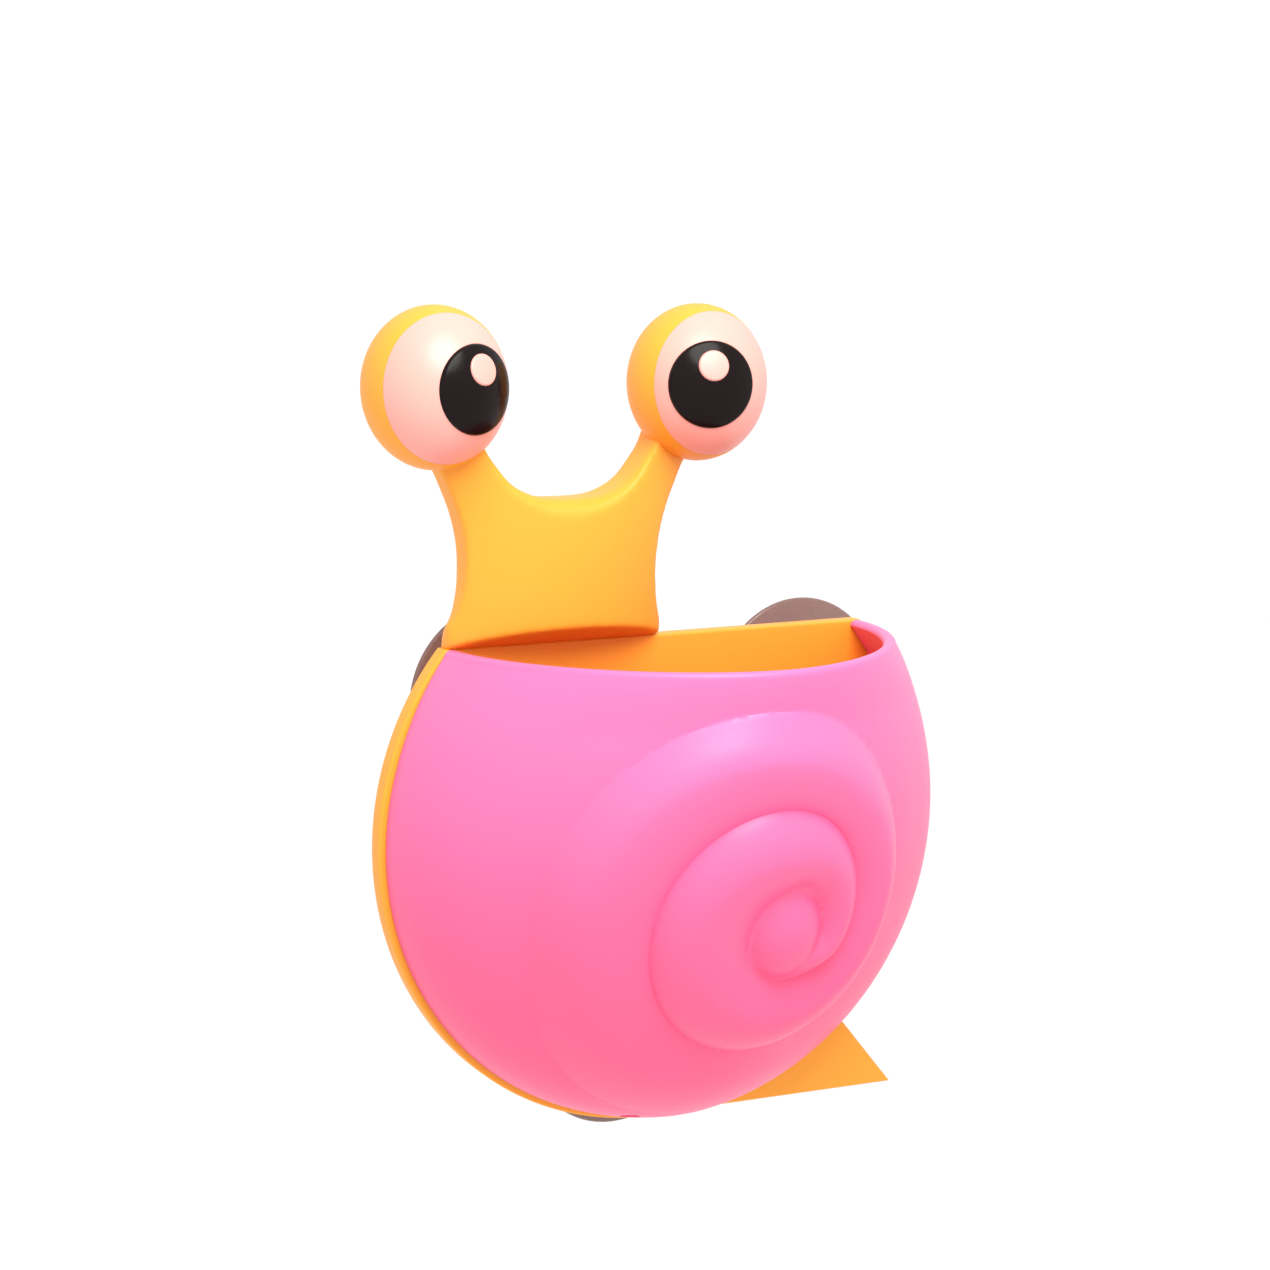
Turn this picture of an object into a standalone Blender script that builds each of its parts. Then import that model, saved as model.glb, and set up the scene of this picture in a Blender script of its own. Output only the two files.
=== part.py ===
"""Wall-hung toothbrush holder in the shape of a snail: a back moulding, a front cup and three suckers.

Metres, +Z up. The front of the holder looks along -Y and the bathroom wall is the plane y = 0.
x = 0 is the middle of the round cup, and z = 0 is the cup's rim.
The holder hangs on the suckers' buttons and lifts off them along +Z.
"""

from math import cos, pi, radians, sin, sqrt

import bmesh
import bpy
from mathutils import Matrix, Vector

MM = 0.001
GAP = 0.3 * MM  # left between pieces that touch

# Distances from the wall
SUCKER_BODY = 5.4 * MM
POCKET_BACK = 5.7 * MM
POCKET_WEB = 1.5 * MM
BUTTON_SLOT = 2.8 * MM
PLATE_FRONT = 15.45 * MM
PLATE_THICK = 2.3 * MM
PLATE_BACK = PLATE_FRONT - PLATE_THICK
RIM_BACK = 11.3 * MM

# Round cup
CUP_RADIUS = 59.4 * MM
CUP_CENTRE_Z = -38.9 * MM
CUP_DEPTH = 50.9 * MM
CUP_WALL = 2.2 * MM
DEEPEST_Z = 6.3 * MM
OPENING = 1.2 * MM  # added to half the width at the rim
OPENING_HEIGHT = 25.5 * MM  # below the rim, where the opening starts
SIDE_POWER = 2.02
FRONT_POWER = 0.9  # of the square
FRONT_ROOT = 1 / 1.77
FRONT_SOFT = 0.01  # takes the crease off the middle of the front
BOSS_RADIUS = 3.4 * MM
BOSS_CIRCLE = 54 * MM
BOSS_ANGLES = {"upper_right": 10, "upper_left": 170, "lower_left": 235, "lower_right": 305}
BORE_RADIUS = 1.5 * MM
BORE_DEPTH = 9.5 * MM
DRAIN_RADIUS = 2 * MM
DRAIN_X = (-12 * MM, 0, 12 * MM)
DRAIN_FORWARD = 9 * MM

# Back moulding
PLATE_LIP = 1.3 * MM  # how far the plate shows around the cup
RIM_WALL = 1.8 * MM
TAIL_TIP = (55.8 * MM, -101.1 * MM)
TAIL_RISE_ANGLE = -47  # where the tail's upper edge leaves the circle
TAIL_FOOT_ANGLE = -86
NECK_X = -22.8 * MM
NECK_FRONT = 9.3 * MM  # in front of the plate's face
NECK_ROUND = 3.8 * MM
NECK_WALL = 1.8 * MM
CHIN_SLOPE = 21.5  # degrees above level
PILLOW_HALF = 22.8 * MM  # half width at the neck's foot, where its front swells from nothing
PILLOW_SHIFT = -0.6 * MM  # of its middle, from the neck's
PILLOW_POWER = 1.5  # of a circle's height; more gives thinner edges
PILLOW_SPREAD = 150 * MM  # the height at which half the width has grown by as much
PILLOW_LOW = -12 * MM
PILLOW_HIGH = 70 * MM
PILLOW_BACK = 8 * MM  # behind the neck and its hollow
RIB_WIDTH = 1.6 * MM

# Eyes
EYE_X = 27.55 * MM
EYE_Z = 50 * MM
EYE_FORWARD = 6.2 * MM  # of the plate's face
EYE_RADIUS = 13.7 * MM
EYE_HEIGHT = 15.25 * MM  # half of it
EYE_WALL = 2 * MM
EYE_SPLIT = 5.8 * MM  # the cap's edge, in front of the eye's middle
CAP_LIP_DEPTH = 2.6 * MM
CAP_LIP_WALL = 1.4 * MM
PUPIL_RADIUS = 8.3 * MM
PUPIL_PROUD = 0.45 * MM
PUPIL_SUNK = 0.6 * MM
GLINT_RADIUS = 2.95 * MM
GLINT_PROUD = 0.75 * MM
GLINT_LIFT = 15
LOOK = {"left": 18.3, "right": -14.7}

# Suckers and screws
SUCKER_RADIUS = 20 * MM
SUCKER_PLACES = {
    "upper_left": (-28.1 * MM, -13.3 * MM),
    "upper_right": (40.7 * MM, -16.8 * MM),
    "bottom": (-2.9 * MM, -85.3 * MM),
}
BUTTON_RADIUS = 5.5 * MM
STEM_RADIUS = 3.1 * MM
POCKET_HALF = 8.5 * MM
SCREW_HEAD_RADIUS = 2.8 * MM
SCREW_HEAD_HEIGHT = 2 * MM
SCREW_RADIUS = 1.2 * MM
SCREW_LENGTH = 10 * MM

COLOURS = {
    "yellow": ((0.98, 0.52, 0.06, 1), 0.3),
    "pink": ((0.96, 0.16, 0.40, 1), 0.3),
    "ivory": ((0.94, 0.86, 0.80, 1), 0.3),
    "black": ((0.012, 0.010, 0.010, 1), 0.12),
    "sucker": ((0.42, 0.36, 0.36, 1), 0.25),
    "steel": ((0.62, 0.62, 0.64, 1), 0.3),
}


def clear_scene():
    for obj in list(bpy.data.objects):
        bpy.data.objects.remove(obj, do_unlink=True)


def collection(name):
    group = bpy.data.collections.new(name)
    bpy.context.scene.collection.children.link(group)
    return group


def material(name, slot):
    colour, roughness = COLOURS[slot]
    made = bpy.data.materials.new(name)
    made.use_nodes = True
    shader = made.node_tree.nodes["Principled BSDF"]
    shader.inputs["Base Color"].default_value = colour
    shader.inputs["Roughness"].default_value = roughness
    shader.inputs["Metallic"].default_value = 1.0 if slot == "steel" else 0.0
    return made


def part(name, mesh, slot):
    """A finished piece in the holder's collection, with its own material."""
    obj = bpy.data.objects.new(name, mesh)
    HOLDER.objects.link(obj)
    mesh.materials.clear()
    mesh.materials.append(material(name + "_finish", slot))
    mesh.shade_smooth()
    mesh.set_sharp_from_angle(angle=radians(35))
    return obj


def tool(mesh, name="cutter"):
    """A shape that cuts or joins another and is never built itself."""
    obj = bpy.data.objects.new(name, mesh)
    CUTTERS.objects.link(obj)
    obj.hide_render = True
    obj.display_type = "WIRE"
    return obj


def combine(obj, mesh, operation):
    modifier = obj.modifiers.new(operation.title(), "BOOLEAN")
    modifier.operation = operation
    modifier.solver = "EXACT"
    modifier.object = tool(mesh)


def cut(obj, mesh):
    combine(obj, mesh, "DIFFERENCE")


def add(obj, mesh):
    combine(obj, mesh, "UNION")


def keep(obj, mesh):
    combine(obj, mesh, "INTERSECT")


def settled(obj):
    """The mesh that an object's modifiers give, as a mesh of its own."""
    bpy.context.view_layer.update()
    graph = bpy.context.evaluated_depsgraph_get()
    mesh = bpy.data.meshes.new_from_object(obj.evaluated_get(graph))
    mesh.transform(obj.matrix_world)
    bpy.data.objects.remove(obj, do_unlink=True)
    return mesh


def from_bmesh(bm, name="shape"):
    bmesh.ops.recalc_face_normals(bm, faces=bm.faces)
    mesh = bpy.data.meshes.new(name)
    bm.to_mesh(mesh)
    bm.free()
    return mesh


def box(low, high):
    bm = bmesh.new()
    bmesh.ops.create_cube(bm, size=1)
    size = Vector(high) - Vector(low)
    bmesh.ops.scale(bm, vec=size, verts=bm.verts)
    bmesh.ops.translate(bm, vec=Vector(low) + size / 2, verts=bm.verts)
    return from_bmesh(bm)


def rod(centre, direction, radius, length, segments=24):
    """A cylinder from centre along direction."""
    bm = bmesh.new()
    bmesh.ops.create_cone(
        bm, cap_ends=True, segments=segments, radius1=radius, radius2=radius, depth=length
    )
    bmesh.ops.translate(bm, vec=(0, 0, length / 2), verts=bm.verts)
    turn = Vector((0, 0, 1)).rotation_difference(Vector(direction)).to_matrix()
    bmesh.ops.rotate(bm, cent=(0, 0, 0), matrix=turn, verts=bm.verts)
    bmesh.ops.translate(bm, vec=centre, verts=bm.verts)
    return from_bmesh(bm)


def upright(data, middle_y):
    """A filled flat curve, stood up to face along Y, as a closed mesh."""
    obj = bpy.data.objects.new("outline", data)
    CUTTERS.objects.link(obj)
    obj.matrix_world = Matrix.Translation((0, middle_y, 0)) @ Matrix.Rotation(pi / 2, 4, "X")
    mesh = settled(obj)
    bm = bmesh.new()
    bm.from_mesh(mesh)
    bmesh.ops.remove_doubles(bm, verts=bm.verts, dist=0.00001)
    return from_bmesh(bm)


def flat_curve(half_thick):
    data = bpy.data.curves.new("outline", "CURVE")
    data.dimensions = "2D"
    data.fill_mode = "BOTH"
    data.extrude = half_thick
    return data


def slab(points, front, back):
    """A straight-sided plate of a closed outline of (x, z) points, between two values of y."""
    data = flat_curve((back - front) / 2)
    spline = data.splines.new("POLY")
    spline.points.add(len(points) - 1)
    for point, (x, z) in zip(spline.points, points):
        point.co = (x, z, 0, 1)
    spline.use_cyclic_u = True
    return upright(data, (front + back) / 2)


def turned(profile, centre, steps=24, stretch=1.0):
    """A closed (radius, y) profile turned about the Y axis, then stretched along Z."""
    bm = bmesh.new()
    ring = [bm.verts.new((radius, y, 0)) for radius, y in profile]
    for first, second in zip(ring, ring[1:]):
        bm.edges.new((first, second))
    bmesh.ops.spin(
        bm,
        geom=bm.verts[:] + bm.edges[:],
        cent=(0, 0, 0),
        axis=(0, 1, 0),
        angle=2 * pi,
        steps=steps,
        use_duplicate=False,
    )
    bmesh.ops.remove_doubles(bm, verts=bm.verts, dist=0.000005)
    bmesh.ops.scale(bm, vec=(1, 1, stretch), verts=bm.verts)
    bmesh.ops.translate(bm, vec=centre, verts=bm.verts)
    return from_bmesh(bm)


def front_crown(side):
    """How far the front stands out, from 1 at the middle to 0 where side is 1 or -1."""
    low = FRONT_SOFT**FRONT_POWER
    fall = ((side**2 + FRONT_SOFT) ** FRONT_POWER - low) / ((1 + FRONT_SOFT) ** FRONT_POWER - low)
    return max(1 - fall, 0) ** FRONT_ROOT


def cup_half_width(z, radius):
    """Half the cup's width at a height: a circle that opens a little towards the rim."""
    height = z - CUP_CENTRE_Z
    opening = min(max(1 + z / OPENING_HEIGHT, 0), 1)
    return sqrt(max(radius**2 - height**2, 0)) + OPENING * opening**2


def pod(radius, depth, top, back, columns=48, rows=40):
    """The cup's full form, cut level at the top and flat at the back."""
    bottom = CUP_CENTRE_Z - radius
    bm = bmesh.new()
    bmesh.ops.create_uvsphere(bm, u_segments=columns, v_segments=rows, radius=1)
    for vertex in bm.verts:
        x, y, rise = vertex.co
        across = sqrt(max(1 - rise**2, 0))
        side = x / across if across > 0.001 else 0
        z = CUP_CENTRE_Z + radius * rise
        reach = min(abs(z - DEEPEST_Z) / (DEEPEST_Z - bottom), 1)
        profile = max(1 - reach**SIDE_POWER, 0) ** (1 / SIDE_POWER)
        sign = 1 if y > 0 else -1
        reach_y = sign * depth * profile * front_crown(side)
        vertex.co = (cup_half_width(z, radius) * side, reach_y, z)
    bmesh.ops.remove_doubles(bm, verts=bm.verts, dist=0.00001)
    mesh = from_bmesh(bm)
    mesh.transform(Matrix.Translation((0, -PLATE_FRONT, 0)))
    obj = tool(mesh)
    reach = 100 * MM
    keep(obj, box((-reach, -reach, -2 * reach), (reach, back, top)))
    return settled(obj)


def on_circle(angle, radius):
    return (radius * cos(radians(angle)), CUP_CENTRE_Z + radius * sin(radians(angle)))


def boss_places():
    return {name: on_circle(angle, BOSS_CIRCLE) for name, angle in BOSS_ANGLES.items()}


def build_cup():
    """The pink front moulding: one thin round wall, four screw bosses inside and drain holes."""
    back = -PLATE_FRONT - GAP
    cavity = tool(pod(CUP_RADIUS - CUP_WALL, CUP_DEPTH - CUP_WALL, 8 * MM, 0, 32, 28))
    for x, z in boss_places().values():
        cut(cavity, rod((x, 1 * MM, z), (0, -1, 0), BOSS_RADIUS, CUP_DEPTH + PLATE_FRONT, 20))
    cup = part("shell_cup", pod(CUP_RADIUS, CUP_DEPTH, 0, back), "pink")
    cut(cup, settled(cavity))
    for x, z in boss_places().values():
        cut(cup, rod((x, back + 1 * MM, z), (0, -1, 0), BORE_RADIUS, BORE_DEPTH + 1 * MM, 16))
    floor = CUP_CENTRE_Z - CUP_RADIUS
    for x in DRAIN_X:
        cut(cup, rod((x, back - DRAIN_FORWARD, floor - 4 * MM), (0, 0, 1), DRAIN_RADIUS, 16 * MM, 12))


def plate_outline(inset=0.0):
    """The back plate's edge: most of a circle, a level top and the tail's triangle."""
    radius = CUP_RADIUS + PLATE_LIP - inset
    top = -inset
    corner = sqrt(radius**2 - (top - CUP_CENTRE_Z) ** 2)
    start = 180 - corner_angle(corner, top)
    points = []
    steps = 40
    sweep_to = 360 + TAIL_FOOT_ANGLE
    for step in range(steps + 1):
        angle = start + (sweep_to - start) * step / steps
        points.append(on_circle(angle, radius))
    tip_x, tip_z = TAIL_TIP
    points.append((tip_x - 3.2 * inset, tip_z + inset))
    rise_from = 360 + TAIL_RISE_ANGLE
    rise_to = 360 + corner_angle(corner, top)
    steps = 16
    for step in range(steps + 1):
        angle = rise_from + (rise_to - rise_from) * step / steps
        points.append(on_circle(angle, radius))
    return points


def corner_angle(corner, top):
    """The angle of the plate's top right corner, seen from the cup's middle."""
    return Vector((1, 0)).angle_signed(Vector((corner, top - CUP_CENTRE_Z))) * -180 / pi


NECK_SIDE = (
    # (left half width, right half width, height): foot, waist, root of the stalk, inside the eye
    (25.5 * MM, 23.2 * MM, -3 * MM),
    (21.9 * MM, 20.4 * MM, 7.6 * MM),
    (20.9 * MM, 19.7 * MM, 14.6 * MM),
    (21.6 * MM, 20.8 * MM, 23 * MM),
    (25.2 * MM, 25.0 * MM, 33 * MM),
    (30.5 * MM, 30.5 * MM, 44 * MM),
    (23.5 * MM, 23.5 * MM, 47 * MM),
    (16.6 * MM, 16.6 * MM, 36.5 * MM),
    (10.8 * MM, 10.8 * MM, 30.6 * MM),
)
NECK_FORK = (0, 28.5 * MM)


def neck_form(front, back, edge, inset):
    """The neck and its two stalks: a rounded slab of a smooth outline."""
    half = (back - front) / 2
    data = flat_curve(half - edge)
    data.bevel_depth = edge
    data.bevel_resolution = 2
    data.offset = -edge - inset
    data.resolution_u = 3
    spline = data.splines.new("BEZIER")
    left = [(-half, z) for half, _, z in NECK_SIDE]
    right = [(half, z) for _, half, z in NECK_SIDE]
    points = right + [NECK_FORK] + left[::-1]
    spline.bezier_points.add(len(points) - 1)
    for point, (x, z) in zip(spline.bezier_points, points):
        point.co = (NECK_X + x, z, 0)
        point.handle_left_type = "AUTO"
        point.handle_right_type = "AUTO"
    spline.use_cyclic_u = True
    return upright(data, (front + back) / 2)


def pillow(front, half_foot):
    """A solid whose front swells from nothing at the neck's edges to its full depth in the middle."""
    columns, rows = 14, 8
    middle = NECK_X + PILLOW_SHIFT
    bm = bmesh.new()
    rings = []
    angles = [pi * column / columns for column in range(columns + 1)]
    for row in range(rows + 1):
        z = PILLOW_LOW + (PILLOW_HIGH - PILLOW_LOW) * row / rows
        half = half_foot + PILLOW_SPREAD * (max(z, 0) / PILLOW_SPREAD) ** 2
        ring = [(middle - half * cos(a), -PLATE_FRONT - front * sin(a) ** PILLOW_POWER, z) for a in angles]
        ring += [(middle + half, PILLOW_BACK, z), (middle - half, PILLOW_BACK, z)]
        rings.append([bm.verts.new(point) for point in ring])
    for low, high in zip(rings, rings[1:]):
        for i in range(len(low)):
            j = (i + 1) % len(low)
            bm.faces.new((low[i], low[j], high[j], high[i]))
    bm.faces.new(rings[0])
    bm.faces.new(rings[-1])
    bmesh.ops.triangulate(bm, faces=bm.faces)
    return from_bmesh(bm)


def under_chin(raised):
    """The space under the neck's chin, whose face slopes up and forward from the plate."""
    space = box((-80 * MM, -80 * MM, -60 * MM), (80 * MM, 80 * MM, 0))
    space.transform(Matrix.Rotation(radians(-CHIN_SLOPE), 4, "X"))
    space.transform(Matrix.Translation((0, -PLATE_FRONT, raised)))
    return space


def eye_centre(side):
    sign = -1 if side == "left" else 1
    return Vector((NECK_X + sign * EYE_X, -PLATE_FRONT - EYE_FORWARD, EYE_Z))


def egg(centre, grow=0.0, columns=24, rows=16):
    """An eye's egg form, larger or smaller all round by grow."""
    bm = bmesh.new()
    bmesh.ops.create_uvsphere(bm, u_segments=columns, v_segments=rows, radius=1)
    bmesh.ops.rotate(bm, cent=(0, 0, 0), matrix=Matrix.Rotation(pi / 2, 3, "X"), verts=bm.verts)
    size = (EYE_RADIUS + grow, EYE_RADIUS + grow, EYE_HEIGHT + grow)
    bmesh.ops.scale(bm, vec=size, verts=bm.verts)
    bmesh.ops.translate(bm, vec=centre, verts=bm.verts)
    return from_bmesh(bm)


def look_direction(side, lift=0):
    """Where an eye looks, or where its glint sits, as a unit vector."""
    turn = radians(LOOK[side])
    return Vector((sin(turn) * cos(radians(lift)), -cos(turn) * cos(radians(lift)), sin(radians(lift))))


def inlay(side, radius, lift, outer, inner):
    """A disc that follows the eye's surface, between two heights over it."""
    centre = eye_centre(side)
    obj = tool(rod(centre, look_direction(side, lift), radius, 2 * EYE_RADIUS, 24))
    keep(obj, egg(centre, outer))
    cut(obj, egg(centre, inner))
    return settled(obj)


def build_eye(side):
    """One eye: an ivory cap that plugs into the yellow half, a black pupil and a small glint."""
    centre = eye_centre(side)
    split = centre.y - EYE_SPLIT
    reach = 40 * MM
    cap = part("eye_white_" + side, egg(centre), "ivory")
    cut(cap, egg(centre, -EYE_WALL))
    cut(cap, box((-2 * reach, split, 0), (reach, 0, 2 * reach)))
    plug = sqrt(1 - (EYE_SPLIT / (EYE_RADIUS - EYE_WALL)) ** 2) * (EYE_RADIUS - EYE_WALL) - GAP
    inner = plug - CAP_LIP_WALL
    profile = [
        (inner, split + CAP_LIP_DEPTH - centre.y),
        (plug, split + CAP_LIP_DEPTH - centre.y),
        (plug, split - 1.6 * MM - centre.y),
        (inner, split - 1.6 * MM - centre.y),
        (inner, split + CAP_LIP_DEPTH - centre.y),
    ]
    lip = turned(profile, centre, 24, EYE_HEIGHT / EYE_RADIUS)
    add(cap, lip)
    cut(cap, inlay(side, PUPIL_RADIUS + GAP, 0, 3 * MM, -PUPIL_SUNK - GAP))
    pupil = part("pupil_" + side, inlay(side, PUPIL_RADIUS, 0, PUPIL_PROUD, -PUPIL_SUNK), "black")
    cut(pupil, inlay(side, GLINT_RADIUS + GAP, GLINT_LIFT, 3 * MM, -GAP))
    part("eye_glint_" + side, inlay(side, GLINT_RADIUS, GLINT_LIFT, GLINT_PROUD, 0), "ivory")


def pocket(x, z):
    """A block on the plate's back, with a round top, that a sucker's button slides into."""
    points = [(x + POCKET_HALF, z - POCKET_HALF), (x + POCKET_HALF, z)]
    for step in range(1, 12):
        angle = pi * step / 12
        points.append((x + POCKET_HALF * cos(angle), z + POCKET_HALF * sin(angle)))
    points += [(x - POCKET_HALF, z), (x - POCKET_HALF, z - POCKET_HALF)]
    return slab(points, -PLATE_BACK - 0.5 * MM, -POCKET_BACK)


def slot(x, z, half, front, back):
    """An upright slot with a round top that runs out of the pocket's lower end."""
    low = z - POCKET_HALF - 1 * MM
    points = [(x + half, low), (x + half, z)]
    for step in range(1, 12):
        angle = pi * step / 12
        points.append((x + half * cos(angle), z + half * sin(angle)))
    points += [(x - half, z), (x - half, low)]
    return slab(points, front, back)


def rib(start, end):
    """A low wall on the plate's back between two (x, z) points."""
    (x0, z0), (x1, z1) = start, end
    along = Vector((x1 - x0, z1 - z0)).normalized()
    across = Vector((-along.y, along.x)) * RIB_WIDTH / 2
    points = [
        (x0 - across.x, z0 - across.y),
        (x1 - across.x, z1 - across.y),
        (x1 + across.x, z1 + across.y),
        (x0 + across.x, z0 + across.y),
    ]
    return slab(points, -PLATE_BACK - 0.5 * MM, -RIM_BACK - 0.4 * MM)


def build_back():
    """The yellow back moulding: plate with a turned-back rim, tail, neck, stalks and eye halves."""
    body = part("back_body", slab(plate_outline(), -PLATE_FRONT, -RIM_BACK), "yellow")
    cut(body, slab(plate_outline(RIM_WALL), -PLATE_BACK, 0))
    neck_front = -PLATE_FRONT - NECK_FRONT
    neck = tool(neck_form(neck_front, -RIM_BACK, NECK_ROUND, 0))
    keep(neck, pillow(NECK_FRONT, PILLOW_HALF))
    cut(neck, under_chin(GAP))
    add(body, settled(neck))
    for side in LOOK:
        ball = tool(egg(eye_centre(side)))
        split = eye_centre(side).y - EYE_SPLIT
        cut(ball, box((-90 * MM, -90 * MM, 0), (90 * MM, split + GAP, 90 * MM)))
        add(body, settled(ball))
    hollow = tool(neck_form(neck_front + NECK_WALL, 5 * MM, NECK_ROUND - NECK_WALL, NECK_WALL))
    keep(hollow, pillow(NECK_FRONT - NECK_WALL, PILLOW_HALF - NECK_WALL))
    cut(hollow, under_chin(GAP + NECK_WALL / cos(radians(CHIN_SLOPE))))
    cut(hollow, box((-90 * MM, -90 * MM, -60 * MM), (90 * MM, 90 * MM, NECK_WALL)))
    for side in LOOK:
        cut(hollow, egg(eye_centre(side), 0.2 * MM))
    cut(body, settled(hollow))
    for side in LOOK:
        cut(body, egg(eye_centre(side), -EYE_WALL))
    places = list(SUCKER_PLACES.values())
    for place in places:
        add(body, pocket(*place))
    for start, end in zip(places, places[1:] + places[:1]):
        add(body, rib(start, end))
    for x, z in places:
        web_front = -POCKET_BACK - POCKET_WEB
        cut(body, slot(x, z, BUTTON_RADIUS + GAP, web_front - BUTTON_SLOT, web_front))
        cut(body, slot(x, z, STEM_RADIUS + GAP, web_front - 1 * MM, 0))
    for x, z in boss_places().values():
        cut(body, rod((x, -PLATE_FRONT - 1 * MM, z), (0, 1, 0), SCREW_RADIUS + GAP, 5 * MM, 16))


def build_suckers():
    """Soft cups: a dished skirt on the wall, a stem, and a button that the holder hangs on."""
    button_back = POCKET_BACK + POCKET_WEB + GAP
    button_front = button_back + BUTTON_SLOT - 2 * GAP
    edge = SUCKER_RADIUS
    profile = [
        (0, -2.8 * MM),
        (6 * MM, -2.6 * MM),
        (11 * MM, -1.8 * MM),
        (15.5 * MM, 0),
        (edge - 0.4 * MM, 0),
        (edge, -0.3 * MM),
        (edge - 0.3 * MM, -0.9 * MM),
        (16 * MM, -1.9 * MM),
        (11 * MM, -3.6 * MM),
        (7 * MM, -4.8 * MM),
        (5.4 * MM, -SUCKER_BODY),
        (STEM_RADIUS, -SUCKER_BODY),
        (STEM_RADIUS, -button_back),
        (BUTTON_RADIUS - 0.4 * MM, -button_back),
        (BUTTON_RADIUS, -button_back - 0.4 * MM),
        (BUTTON_RADIUS, -button_front + 0.8 * MM),
        (BUTTON_RADIUS - 0.8 * MM, -button_front),
        (0, -button_front),
    ]
    for name, (x, z) in SUCKER_PLACES.items():
        part("sucker_" + name, turned(profile, (x, 0, z), 28), "sucker")


def build_screws():
    """Pan-head screws from behind, through the plate into the cup's bosses."""
    head_back = -PLATE_BACK + GAP + SCREW_HEAD_HEIGHT
    head_front = -PLATE_BACK + GAP
    tip = head_front - SCREW_LENGTH
    profile = [
        (0, head_back),
        (1.3 * MM, head_back - 0.1 * MM),
        (2.3 * MM, head_back - 0.6 * MM),
        (SCREW_HEAD_RADIUS, head_front + 0.7 * MM),
        (SCREW_HEAD_RADIUS, head_front),
        (SCREW_RADIUS, head_front),
        (SCREW_RADIUS, tip + 1.5 * MM),
        (0, tip),
    ]
    for name, (x, z) in boss_places().items():
        part("screw_" + name, turned(profile, (x, 0, z), 16), "steel")


clear_scene()
HOLDER = collection("snail_toothbrush_holder")
CUTTERS = collection("cutters")
build_cup()
build_back()
for eye_side in LOOK:
    build_eye(eye_side)
build_suckers()
build_screws()
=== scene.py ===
"""Wall-hung toothbrush holder in the shape of a snail: its finished pieces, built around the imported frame.

Run as a script, it makes the pink cup with its raised spiral, the yellow back moulding, the two eyes, the three
suckers and the screws, then the studio they stand in.
Metres, +Z up. The front looks along -Y, the wall is the plane y = 0, and z = 0 is the cup's rim.
"""

from math import asin, cos, degrees, pi, radians, sin, sqrt

import bmesh
import bpy
import numpy as np
from bpy.props import FloatProperty, FloatVectorProperty, IntProperty, PointerProperty
from mathutils import Matrix, Vector


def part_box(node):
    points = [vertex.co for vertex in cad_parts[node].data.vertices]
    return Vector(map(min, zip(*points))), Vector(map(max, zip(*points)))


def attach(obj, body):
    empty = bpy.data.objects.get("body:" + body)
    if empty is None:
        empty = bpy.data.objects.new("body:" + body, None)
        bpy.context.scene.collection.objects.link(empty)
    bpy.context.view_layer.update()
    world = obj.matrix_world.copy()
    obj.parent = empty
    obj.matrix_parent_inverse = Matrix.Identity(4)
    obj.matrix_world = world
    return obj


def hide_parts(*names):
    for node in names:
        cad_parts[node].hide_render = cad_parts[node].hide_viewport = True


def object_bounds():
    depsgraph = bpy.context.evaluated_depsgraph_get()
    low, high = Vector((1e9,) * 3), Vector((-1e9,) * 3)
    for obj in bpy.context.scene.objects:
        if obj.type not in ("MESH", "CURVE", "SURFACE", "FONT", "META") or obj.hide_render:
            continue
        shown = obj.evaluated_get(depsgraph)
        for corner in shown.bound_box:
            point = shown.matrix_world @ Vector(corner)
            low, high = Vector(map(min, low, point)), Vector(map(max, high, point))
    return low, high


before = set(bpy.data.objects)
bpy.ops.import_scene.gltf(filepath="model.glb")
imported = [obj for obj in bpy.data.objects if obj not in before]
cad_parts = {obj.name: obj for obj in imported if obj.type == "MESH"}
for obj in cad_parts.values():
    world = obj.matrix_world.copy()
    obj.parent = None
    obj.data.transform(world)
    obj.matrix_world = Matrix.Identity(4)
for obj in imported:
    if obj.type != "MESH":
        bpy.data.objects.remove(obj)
CAD_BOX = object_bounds()

bl_info = {
    "name": "Snail Toothbrush Holder",
    "version": (1, 0, 0),
    "blender": (4, 5, 0),
    "location": "View3D > Sidebar > Snail Holder",
    "description": "Builds a snail-shaped wall-hung toothbrush holder piece by piece",
    "category": "Add Mesh",
}

MM = 0.001
HOLDER = "holder"
SUCKERS = "suckers"
SIDES = ("left", "right")
SUCKER_NODES = ("sucker_upper_left", "sucker_upper_right", "sucker_bottom")
SCREW_NODES = ("screw_upper_left", "screw_upper_right", "screw_lower_left", "screw_lower_right")
SEAM = 0.03 * MM  # left between two mouldings that touch
FLOOR_DROP = 0.45  # from the holder down to the floor
CAMERA_TARGET = (-6.05 * MM, -15.45 * MM, 0.21 * MM)
LIGHT_PLACE = (-0.05, -0.24, 0.25)
LIGHT_TARGET = (0, -0.03, 0)
LIGHT_SIZE = 0.24

# The frame's own measures that several pieces share
CUP_LOW, CUP_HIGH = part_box("shell_cup")
CUP_BACK = CUP_HIGH.y
PLATE_FACE = CUP_BACK + 0.3 * MM
CUP_CENTRE_Z = -38.9 * MM
NECK_X = -22.8 * MM
RIM_BACK = -11.3 * MM


def box_middle(node):
    low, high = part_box(node)
    return (low + high) / 2


# ------------------------------------------------------------------ sizes and colours


def length(name, description, default):
    """A length that a user may change, in metres."""
    return FloatProperty(
        name=name, description=description, default=default, subtype="DISTANCE", unit="LENGTH"
    )


def turn(name, description, default):
    return FloatProperty(
        name=name, description=description, default=radians(default), subtype="ANGLE", unit="ROTATION"
    )


def colour(name, description, default):
    return FloatVectorProperty(
        name=name, description=description, default=default, size=3, min=0, max=1, subtype="COLOR"
    )


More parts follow.
